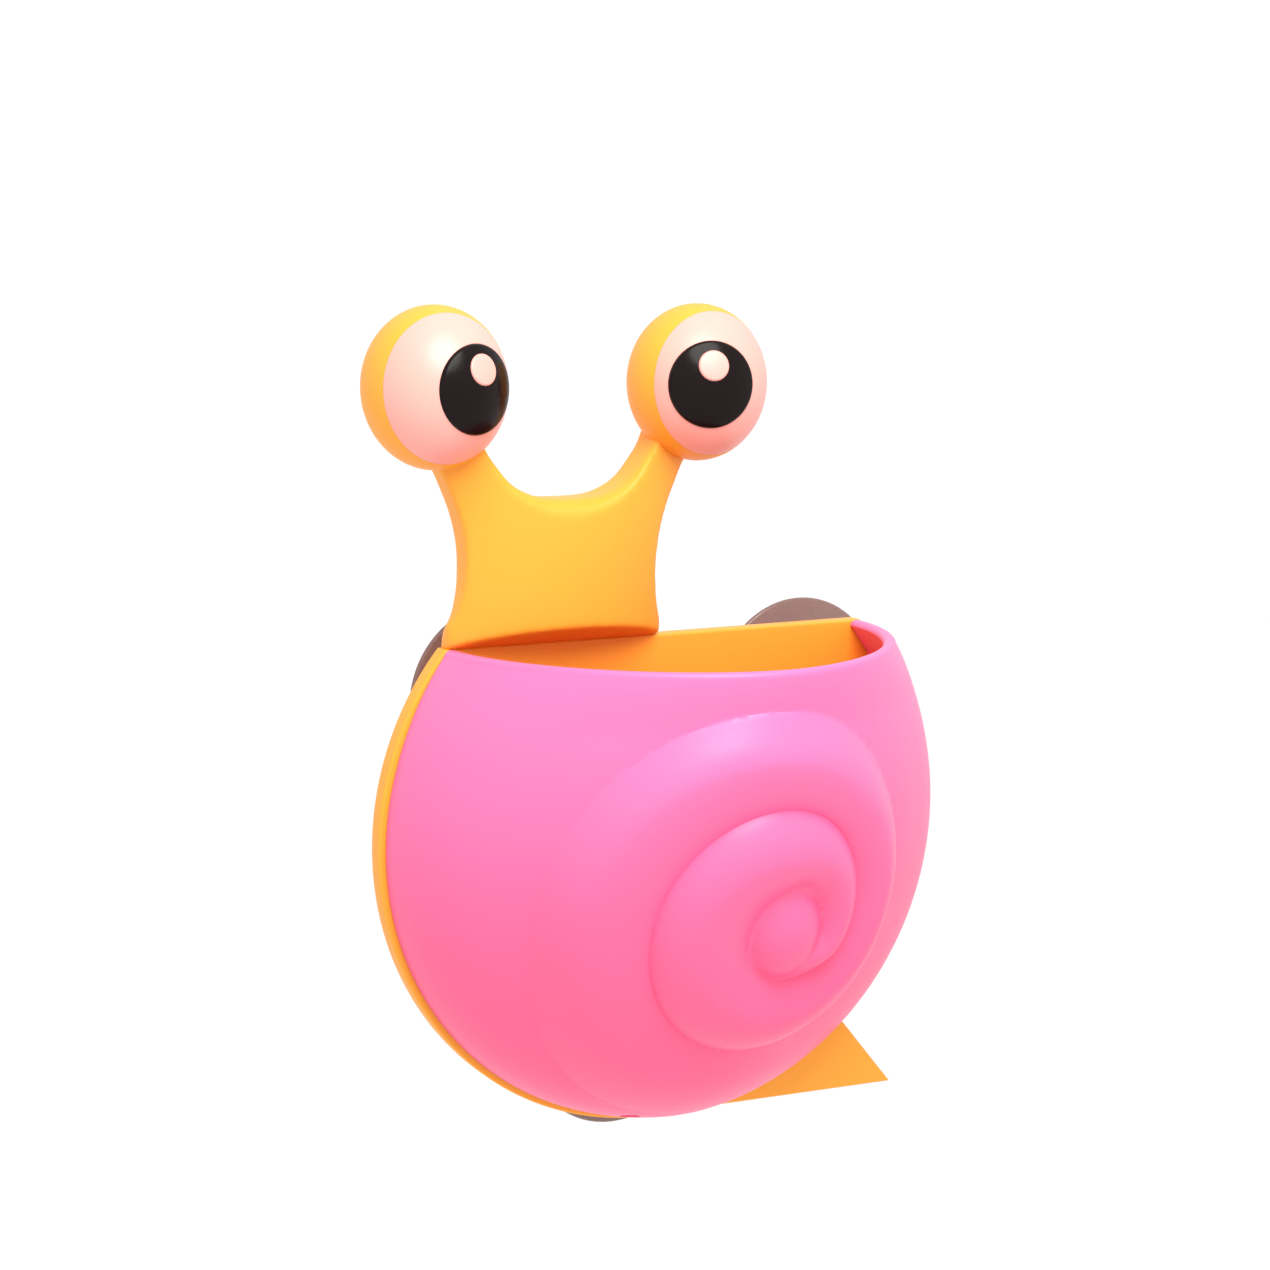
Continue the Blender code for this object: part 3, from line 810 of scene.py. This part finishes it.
class SNAIL_OT_cup(bpy.types.Operator):
    """Make the pink cup with its raised spiral, screw bosses and drain holes"""

    bl_idname = "snail.cup"
    bl_label = "Cup"

    def execute(self, context):
        cup = context.scene.snail_cup
        points, faces, walls = cup_shell(cup, cup.columns, cup.rows)
        heights = spiral_relief(points[:, 0], points[:, 2], cup.crease_soft) * walls
        mesh = new_mesh("cup", points, faces)
        stored = mesh.attributes.new("spiral_height", "FLOAT", "POINT")
        stored.data.foreach_set("value", heights.astype(np.float32))
        merged(mesh)
        finish = pink_finish()
        obj = linked(mesh, "cup_form")
        nodes_modifier(obj, relief_tree(), Height=cup.relief, Finish=finish)
        mesh = merged(settled(obj))
        tools = []
        boss_limit = self.inner_form(cup)
        for place in screw_places():
            centre = (place.x, CUP_BACK, place.z)
            boss = carved(rod(centre, (0, -1, 0), 3.4 * MM, cup.depth), [("INTERSECT", boss_limit.copy())])
            tools.append(("UNION", boss))
        for place in screw_places():
            tools.append(
                ("DIFFERENCE", rod((place.x, CUP_BACK + 1 * MM, place.z), (0, -1, 0), 1.5 * MM, 10.5 * MM))
            )
        floor = CUP_LOW.z - 4 * MM
        for x in (-12 * MM, 0, 12 * MM):
            tools.append(("DIFFERENCE", rod((x, CUP_BACK - 9 * MM, floor), (0, 0, 1), 2 * MM, 16 * MM)))
        mesh = carved(mesh, tools)
        finished("cup", mesh, finish, HOLDER, ["shell_cup"])
        return {"FINISHED"}

    def inner_form(self, cup):
        """A solid that ends in the middle of the cup's wall, to end the bosses in."""
        half = cup.wall / 2
        sides = np.sin(np.linspace(-pi / 2, pi / 2, 81))
        top = asin(-CUP_CENTRE_Z / (cup.radius - half))
        heights = CUP_CENTRE_Z + (cup.radius - half) * np.sin(np.linspace(-pi / 2, top, 61))
        rows = [cup_surface(sides, z, cup.radius - half, cup.depth - half, cup.deepest) for z in heights]
        count = len(sides)
        faces = grid_faces(len(rows), count)
        edge = [row * count for row in range(len(rows))]
        back = edge + [len(rows) * count - 1] + [row * count + count - 1 for row in range(len(rows) - 2, 0, -1)]
        top_edge = [(len(rows) - 1) * count + i for i in range(count)]
        faces += [tuple(back), tuple(reversed(top_edge))]
        return merged(new_mesh("inner_form", np.concatenate(rows), faces))


# ------------------------------------------------------------------ back moulding

TAIL_TIP = (55.8 * MM, -101.1 * MM)
TAIL_RISE_ANGLE = -47
TAIL_FOOT_ANGLE = -86
NECK_SIDE = (
    # (left half width, right half width, height): foot, waist, root of the stalk, inside the eye
    (25.5 * MM, 23.2 * MM, -3 * MM),
    (21.9 * MM, 20.4 * MM, 7.6 * MM),
    (20.9 * MM, 19.7 * MM, 14.6 * MM),
    (21.6 * MM, 20.8 * MM, 23 * MM),
    (25.2 * MM, 25.0 * MM, 33 * MM),
    (30.5 * MM, 30.5 * MM, 44 * MM),
    (23.5 * MM, 23.5 * MM, 47 * MM),
    (16.6 * MM, 16.6 * MM, 36.5 * MM),
    (10.8 * MM, 10.8 * MM, 30.6 * MM),
)
NECK_FORK = (0, 28.5 * MM)
PILLOW_SHIFT = -0.6 * MM
PILLOW_SPREAD = 150 * MM
PILLOW_POWER = 0.75
POCKET_HALF = 8.5 * MM
POCKET_BACK = -5.7 * MM
POCKET_WEB = 1.5 * MM
BUTTON_SLOT = 2.8 * MM


def on_circle(angle, radius):
    return (radius * cos(radians(angle)), CUP_CENTRE_Z + radius * sin(radians(angle)))


def arc(start, end, radius, steps):
    return [on_circle(start + (end - start) * step / steps, radius) for step in range(steps + 1)]


def plate_outline(radius, inset=0.0):
    """The plate's edge: most of a circle, a level top and the tail's triangle."""
    radius -= inset
    top = -inset
    corner = degrees(asin((top - CUP_CENTRE_Z) / radius))
    points = arc(180 - corner, 360 + TAIL_FOOT_ANGLE, radius, 200)
    points.append((TAIL_TIP[0] - 3.2 * inset, TAIL_TIP[1] + inset))
    return points + arc(360 + TAIL_RISE_ANGLE, 360 + corner, radius, 90)


def neck_form(front, back, edge, inset):
    """The neck and its two stalks: a rounded slab of a smooth outline."""
    data = outline_curve(front, back, edge, inset)
    data.bevel_resolution = 7
    data.resolution_u = 14
    spline = data.splines.new("BEZIER")
    left = [(-half, z) for half, _, z in NECK_SIDE]
    right = [(half, z) for _, half, z in NECK_SIDE]
    points = right + [NECK_FORK] + left[::-1]
    spline.bezier_points.add(len(points) - 1)
    for point, (x, z) in zip(spline.bezier_points, points):
        point.co = (NECK_X + x, z, 0)
        point.handle_left_type = "AUTO"
        point.handle_right_type = "AUTO"
    spline.use_cyclic_u = True
    return stood_up(data, front, back)


def eye_centre(side):
    """An eye's middle: the ivory cap's middle, set back by the eye's radius from its front."""
    low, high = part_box("eye_white_" + side)
    return Vector(((low.x + high.x) / 2, low.y + bpy.context.scene.snail_eyes.radius, (low.z + high.z) / 2))


def eye_size():
    eyes = bpy.context.scene.snail_eyes
    return Vector((eyes.radius, eyes.radius, eyes.height))


def arched(x, z, half):
    """An upright (x, z) outline with a round top that runs down to the pocket's lower end."""
    low = z - POCKET_HALF
    points = [(x + half, low), (x + half, z)]
    for step in range(1, 24):
        angle = pi * step / 24
        points.append((x + half * cos(angle), z + half * sin(angle)))
    return points + [(x - half, z), (x - half, low)]


def lowered(points, drop):
    return [(x, z - drop if index in (0, len(points) - 1) else z) for index, (x, z) in enumerate(points)]


def pillow(front, spread):
    """A solid with a front that swells from nothing at the neck's edges to its full depth in the middle."""
    columns, heights = 40, np.linspace(-12 * MM, 70 * MM, 60)
    across = -np.cos(np.linspace(0, pi, columns + 1))
    middle = NECK_X + PILLOW_SHIFT
    points = []
    for z in heights:
        half = spread + max(z, 0) ** 2 / PILLOW_SPREAD
        forward = np.maximum(1 - across**2, 0) ** PILLOW_POWER * front
        points += [(middle + half * u, PLATE_FACE - y, z) for u, y in zip(across, forward)]
        points += [(middle + half, 8 * MM, z), (middle - half, 8 * MM, z)]
    count = columns + 3
    faces = grid_faces(len(heights), count, wrap=True)
    faces += [tuple(range(count)), tuple(range(len(points) - 1, len(points) - 1 - count, -1))]
    return merged(new_mesh("pillow", points, faces))


def softened(mesh, voxel, rounds):
    """The same form with its edges worn round."""
    obj = linked(mesh)
    remesh = obj.modifiers.new("Remesh", "REMESH")
    remesh.mode = "VOXEL"
    remesh.voxel_size = voxel
    smooth = obj.modifiers.new("Smooth", "SMOOTH")
    smooth.factor = 0.5
    smooth.iterations = rounds
    return settled(obj)


class SNAIL_OT_back(bpy.types.Operator):
    """Make the yellow back moulding: plate, tail, neck, stalks and the back halves of the eyes"""

    bl_idname = "snail.back"
    bl_label = "Back Moulding"

    def under_chin(self, slope, raised):
        reach = 80 * MM
        space = block((-reach, -reach, -0.75 * reach), (reach, reach, 0))
        space.transform(Matrix.Rotation(-slope, 4, "X"))
        space.transform(Matrix.Translation((0, PLATE_FACE, raised)))
        return space

    def rib(self, start, end, thick):
        start, end = Vector(start), Vector(end)
        along = (end - start).normalized()
        across = Vector((-along.y, along.x)) * thick / 2
        points = [start - across, end - across, end + across, start + across]
        return slab([tuple(point) for point in points], PLATE_FACE + 1.8 * MM, RIM_BACK - 0.4 * MM)

    def execute(self, context):
        back, eyes = context.scene.snail_back, context.scene.snail_eyes
        radius = context.scene.snail_cup.radius + back.lip
        plate_back = PLATE_FACE + back.plate
        neck_front = PLATE_FACE - back.neck_front
        far = 90 * MM
        spread = 22.8 * MM
        neck = carved(
            neck_form(neck_front, RIM_BACK, back.neck_round, 0),
            [("INTERSECT", pillow(back.neck_front, spread))],
        )
        neck = softened(carved(neck, [("DIFFERENCE", self.under_chin(back.chin, 0.1 * MM))]), 0.5 * MM, 18)
        tools = [("UNION", neck)]
        for side in SIDES:
            centre = eye_centre(side)
            split = centre.y - eyes.split
            front = block((-far, -far, 0), (far, split + SEAM, far))
            tools.append(("UNION", carved(egg(centre, eye_size()), [("DIFFERENCE", front)])))
        chin_wall = back.wall / cos(back.chin)
        hollow_tools = [
            ("INTERSECT", pillow(back.neck_front - back.wall, spread - back.wall)),
            ("DIFFERENCE", self.under_chin(back.chin, chin_wall)),
            ("DIFFERENCE", block((-far, -far, -60 * MM), (far, far, back.wall))),
        ]
        for side in SIDES:
            hollow_tools.append(("DIFFERENCE", egg(eye_centre(side), eye_size(), 0.2 * MM)))
        hollow = neck_form(neck_front + back.wall, 5 * MM, back.neck_round - back.wall, back.wall)
        recess = slab(plate_outline(radius, back.rim), plate_back, 0)
        body = carved(
            slab(plate_outline(radius), PLATE_FACE, RIM_BACK, back.edge),
            [("DIFFERENCE", recess), *tools, ("DIFFERENCE", carved(hollow, hollow_tools))],
        )
        tools = [("DIFFERENCE", egg(eye_centre(side), eye_size(), -eyes.wall)) for side in SIDES]
        places = []
        for node in SUCKER_NODES:
            middle = box_middle(node)
            places.append((middle.x, middle.z))
        inside = PLATE_FACE + 1.8 * MM
        tools += [("UNION", slab(arched(*place, POCKET_HALF), inside, POCKET_BACK)) for place in places]
        tools += [("UNION", self.rib(a, b, back.rib)) for a, b in zip(places, places[1:] + places[:1])]
        fixing = context.scene.snail_fixings
        web = POCKET_BACK - POCKET_WEB
        for place in places:
            wide = lowered(arched(*place, fixing.button + 0.3 * MM), 1 * MM)
            narrow = lowered(arched(*place, fixing.stem + 0.3 * MM), 1 * MM)
            tools.append(("DIFFERENCE", slab(wide, web - BUTTON_SLOT, web)))
            tools.append(("DIFFERENCE", slab(narrow, web - 1 * MM, 0)))
        for place in screw_places():
            start = (place.x, PLATE_FACE - 1 * MM, place.z)
            tools.append(("DIFFERENCE", rod(start, (0, 1, 0), fixing.shank + 0.3 * MM, 5 * MM)))
        finished(
            "back_moulding",
            merged(carved(body, tools)),
            yellow_finish(),
            HOLDER,
            ["back_body"],
            28,
        )
        return {"FINISHED"}


# ------------------------------------------------------------------ eyes


def look_direction(side, lift=0.0):
    eyes = bpy.context.scene.snail_eyes
    bearing = eyes.look_left if side == "left" else eyes.look_right
    return Vector((sin(bearing) * cos(lift), -cos(bearing) * cos(lift), sin(lift)))


def inlay(centre, look, radius, proud, sunk, edge, rings=18, steps=96):
    """A disc that follows the eye's surface: its face stands proud with a rounded edge, its back is sunk."""
    across = look.cross(Vector((0, 0, 1))).normalized()
    up = across.cross(look).normalized()
    size = np.array(eye_size())
    angles = np.arange(steps) * 2 * pi / steps
    axis = np.array(look)

    def ring(reach, over):
        offset = reach * (np.outer(np.cos(angles), across) + np.outer(np.sin(angles), up))
        scaled, way = offset / (size + over), axis / (size + over)
        a, b, c = way @ way, scaled @ way, (scaled**2).sum(axis=1) - 1
        distance = (-b + np.sqrt(b**2 - a * c)) / a
        return offset + distance[:, None] * axis + np.array(centre)

    rows = []
    for reach in np.linspace(0, radius - edge, rings)[:-1]:
        rows.append(ring(reach, proud))
    for step in range(9):
        angle = pi / 2 * step / 8
        rows.append(ring(radius - edge + edge * sin(angle), proud - edge * (1 - cos(angle))))
    for reach in np.linspace(radius, 0, 8):
        rows.append(ring(reach, -sunk))
    return merged(new_mesh("inlay", np.concatenate(rows), grid_faces(len(rows), steps, wrap=True)))


class SNAIL_OT_eyes(bpy.types.Operator):
    """Make the two eyes: ivory caps that plug in, black pupils and small glints"""

    bl_idname = "snail.eyes"
    bl_label = "Eyes"

    def cap(self, centre, eyes):
        """The ivory front: a thin dome with a stepped lip that plugs into the yellow half."""
        split = -eyes.split - SEAM
        size = eye_size()
        inner = size.x - eyes.wall
        steps = 60
        outer_end, inner_end = asin(-split / size.x), asin((-split + 1.6 * MM) / inner)
        profile = []
        for step in range(steps + 1):
            angle = pi / 2 + (outer_end - pi / 2) * step / steps
            profile.append((size.x * cos(angle), -size.x * sin(angle)))
        plug = sqrt(1 - (eyes.split / inner) ** 2) * inner - 0.3 * MM
        deep = split + 2.6 * MM
        profile += [(plug, split), (plug, deep), (plug - 1.4 * MM, deep)]
        for step in range(steps // 2 + 1):
            angle = inner_end + (pi / 2 - inner_end) * step / (steps // 2)
            profile.append((inner * cos(angle), -inner * sin(angle)))
        profile[0] = (0, profile[0][1])
        profile[-1] = (0, profile[-1][1])
        return turned(profile, centre, 128, size.z / size.x)

    def execute(self, context):
        eyes = context.scene.snail_eyes
        ivory, glint_ivory, black = ivory_finish("ivory_cap"), ivory_finish("ivory_glint"), black_finish()
        for side in SIDES:
            centre = eye_centre(side)
            look, glint_look = look_direction(side), look_direction(side, eyes.glint_lift)
            seat = inlay(centre, look, eyes.pupil + SEAM, 2 * MM, 0.62 * MM, 0.01 * MM)
            cap = carved(self.cap(centre, eyes), [("DIFFERENCE", seat)])
            finished("eye_cap_" + side, cap, ivory, HOLDER, ["eye_white_" + side], 30)
            pupil = inlay(centre, look, eyes.pupil, eyes.pupil_proud, 0.6 * MM, 0.4 * MM)
            hole = inlay(centre, glint_look, eyes.glint + SEAM, 2 * MM, 0.02 * MM, 0.01 * MM)
            pupil = carved(pupil, [("DIFFERENCE", hole)])
            finished("pupil_disc_" + side, pupil, black, HOLDER, ["pupil_" + side], 40)
            glint = inlay(centre, glint_look, eyes.glint, eyes.glint_proud, 0, 0.35 * MM)
            finished(
                "glint_dot_" + side, glint, glint_ivory, HOLDER, ["eye_glint_" + side], 40
            )
        return {"FINISHED"}


# ------------------------------------------------------------------ suckers and screws


class SNAIL_OT_suckers(bpy.types.Operator):
    """Make the three soft suckers with their stems and buttons"""

    bl_idname = "snail.suckers"
    bl_label = "Suckers"

    def execute(self, context):
        fixing = context.scene.snail_fixings
        finish = sucker_finish()
        for node in SUCKER_NODES:
            low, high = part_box(node)
            edge = (high.x - low.x) / 2
            back = low.y + 2.2 * MM
            button = fixing.button
            profile = [
                (0, -2.8 * MM),
                (6 * MM, -2.6 * MM),
                (11 * MM, -1.8 * MM),
                (15.5 * MM, 0),
                (edge - 0.4 * MM, 0),
                (edge, -0.3 * MM),
                (edge - 0.3 * MM, -0.9 * MM),
                (16 * MM, -1.9 * MM),
                (11 * MM, -3.6 * MM),
                (7 * MM, -4.8 * MM),
                (5.4 * MM, -5.4 * MM),
                (fixing.stem, -5.4 * MM),
                (fixing.stem, back),
                (button - 0.4 * MM, back),
                (button, back - 0.4 * MM),
                (button, low.y + 0.8 * MM),
                (button - 0.8 * MM, low.y),
                (0, low.y),
            ]
            middle = (low + high) / 2
            mesh = turned(rounded(profile, 1.2 * MM, 5), (middle.x, 0, middle.z), 128)
            finished(node + "_soft", mesh, finish, SUCKERS, [node], 40)
        return {"FINISHED"}


def screws_tree():
    """Geometry Nodes: one screw on each point, each turned its own way about its axis."""
    tree = geometry_tree(
        "Screws on Points",
        {"Screw": ("Object", None), "Seed": ("Int", 7), "Finish": ("Material", None)},
    )
    make = Tree(tree)
    source = make.node("NodeGroupInput")
    screw = make.node("GeometryNodeObjectInfo", Object=source.outputs["Screw"])
    spin = make.node(
        "FunctionNodeRandomValue", {"data_type": "FLOAT"}, Seed=source.outputs["Seed"], Max=2 * pi
    )
    angles = make.node("ShaderNodeCombineXYZ", Y=next(s for s in spin.outputs if s.enabled))
    rotation = make.node("FunctionNodeEulerToRotation", i0=angles.outputs[0])
    points = make.node("GeometryNodeMeshToPoints", i0=source.outputs["Geometry"])
    placed = make.node(
        "GeometryNodeInstanceOnPoints",
        Points=points.outputs[0],
        Instance=screw.outputs["Geometry"],
        Rotation=rotation.outputs[0],
    )
    real = make.node("GeometryNodeRealizeInstances", Geometry=placed.outputs[0])
    painted = make.node(
        "GeometryNodeSetMaterial", Geometry=real.outputs[0], Material=source.outputs["Finish"]
    )
    make.node("NodeGroupOutput", Geometry=painted.outputs[0])
    return tree


class SNAIL_OT_screws(bpy.types.Operator):
    """Make the four cross-recess screws that hold the cup to the plate"""

    bl_idname = "snail.screws"
    bl_label = "Screws"

    def one_screw(self, fixing):
        """A pan-head screw along -Y, its head's seat at the origin, with a threaded shank and a cross recess."""
        head, shank, reach = fixing.head, fixing.shank, fixing.screw
        profile = [(0, 2 * MM), (1.3 * MM, 1.9 * MM), (2.2 * MM, 1.4 * MM), (head, 0.6 * MM), (head, 0), (shank, 0)]
        profile = rounded(profile, 0.5 * MM, 4)
        pitch = 0.9 * MM
        start = 1.2 * MM
        while start + pitch < reach - 1.2 * MM:
            profile += [(shank * 0.78, -start), (shank * 1.08, -start - pitch * 0.45), (shank * 0.78, -start - pitch * 0.9)]
            start += pitch
        profile += [(shank * 0.7, -reach + 1 * MM), (0, -reach)]
        mesh = turned(profile, steps=48)
        wide, narrow, deep = 1.5 * MM, 0.32 * MM, 0.9 * MM
        cross = [
            ("DIFFERENCE", block((-wide, deep, -narrow), (wide, 3 * MM, narrow))),
            ("DIFFERENCE", block((-narrow, deep, -wide), (narrow, 3 * MM, wide))),
        ]
        return carved(mesh, cross)

    def execute(self, context):
        fixing = context.scene.snail_fixings
        seat = PLATE_FACE + context.scene.snail_back.plate + 0.05 * MM
        screw = linked(self.one_screw(fixing), "screw_form")
        places = [(place.x, seat, place.z) for place in screw_places()]
        points = linked(new_mesh("screw_places", places, []), "screw_points")
        finish = screw_finish()
        nodes_modifier(points, screws_tree(), Screw=screw, Finish=finish)
        mesh = settled(points)
        bpy.data.objects.remove(screw, do_unlink=True)
        finished("screws", mesh, finish, HOLDER, SCREW_NODES, 30)
        return {"FINISHED"}


# ------------------------------------------------------------------ studio


class SNAIL_OT_stage(bpy.types.Operator):
    """Set up the camera, the soft lights, the white surround and the pale floor"""

    bl_idname = "snail.stage"
    bl_label = "Stage"

    def lamp(self, name, place, target, size, power):
        data = bpy.data.lights.new(name, "AREA")
        data.shape = "DISK"
        data.size = size
        data.energy = power
        obj = linked(data, name)
        obj.location = place
        obj.rotation_euler = (Vector(target) - Vector(place)).to_track_quat("-Z", "Y").to_euler()

    def execute(self, context):
        scene, stage = context.scene, context.scene.snail_stage
        target = Vector(CAMERA_TARGET)
        a, e = stage.azimuth, stage.elevation
        away = Vector((sin(a) * cos(e), -cos(a) * cos(e), sin(e)))
        data = bpy.data.cameras.new("camera")
        data.sensor_width = 36
        data.lens = stage.lens
        data.clip_start = 0.01
        camera = linked(data, "camera")
        camera.location = target + away * stage.distance
        camera.rotation_euler = (-away).to_track_quat("-Z", "Y").to_euler()
        scene.camera = camera
        self.lamp("light_overhead", LIGHT_PLACE, LIGHT_TARGET, LIGHT_SIZE, stage.key)
        world = bpy.data.worlds.new("white_surround")
        world.use_nodes = True
        background = world.node_tree.nodes["Background"]
        background.inputs["Color"].default_value = (1, 1, 1, 1)
        background.inputs["Strength"].default_value = stage.surround
        scene.world = world
        bm = bmesh.new()
        bmesh.ops.create_grid(bm, x_segments=8, y_segments=8, size=3)
        bmesh.ops.translate(bm, vec=(0, 0, CAD_BOX[0].z - FLOOR_DROP), verts=bm.verts)
        mesh = bpy.data.meshes.new("floor")
        bm.to_mesh(mesh)
        bm.free()
        floor = linked(mesh, "floor")
        made, _ = finish_material(
            "pale_floor", (0.97, 0.97, 0.97), (0.955, 0.955, 0.955), (0.7, 0.8), 400.0, 0.01 * MM, 0.05 * MM
        )
        mesh.materials.append(made)
        scene.view_settings.view_transform = "Standard"
        return {"FINISHED"}


class SNAIL_PT_panel(bpy.types.Panel):
    """Lists the pieces and their sizes"""

    bl_label = "Snail Holder"
    bl_idname = "SNAIL_PT_panel"
    bl_space_type = "VIEW_3D"
    bl_region_type = "UI"
    bl_category = "Snail Holder"

    def draw(self, context):
        for title, operators, name in SECTIONS:
            part = self.layout.box()
            part.label(text=title)
            for operator in operators:
                part.operator(operator.bl_idname)
            settings = getattr(context.scene, name)
            for key in settings.bl_rna.properties.keys():
                if key not in {"rna_type", "name"}:
                    part.prop(settings, key)


SETTINGS = {
    "snail_cup": SnailCupSettings,
    "snail_back": SnailBackSettings,
    "snail_eyes": SnailEyeSettings,
    "snail_fixings": SnailFixingSettings,
    "snail_finish": SnailFinishSettings,
    "snail_stage": SnailStageSettings,
}
SECTIONS = (
    ("Cup", (SNAIL_OT_cup,), "snail_cup"),
    ("Back Moulding", (SNAIL_OT_back,), "snail_back"),
    ("Eyes", (SNAIL_OT_eyes,), "snail_eyes"),
    ("Fixings", (SNAIL_OT_suckers, SNAIL_OT_screws), "snail_fixings"),
    ("Stage", (SNAIL_OT_stage,), "snail_stage"),
)
OPERATORS = (SNAIL_OT_cup, SNAIL_OT_back, SNAIL_OT_eyes, SNAIL_OT_suckers, SNAIL_OT_screws, SNAIL_OT_stage)


def register():
    for cls in (*SETTINGS.values(), *OPERATORS, SNAIL_PT_panel):
        bpy.utils.register_class(cls)
    for name, cls in SETTINGS.items():
        setattr(bpy.types.Scene, name, PointerProperty(type=cls))


def unregister():
    for name in SETTINGS:
        delattr(bpy.types.Scene, name)
    for cls in (SNAIL_PT_panel, *reversed(OPERATORS), *reversed(list(SETTINGS.values()))):
        bpy.utils.unregister_class(cls)


def main():
    register()
    bpy.ops.snail.cup()
    bpy.ops.snail.back()
    bpy.ops.snail.eyes()
    bpy.ops.snail.suckers()
    bpy.ops.snail.screws()
    bpy.ops.snail.stage()


if __name__ == "__main__":
    main()
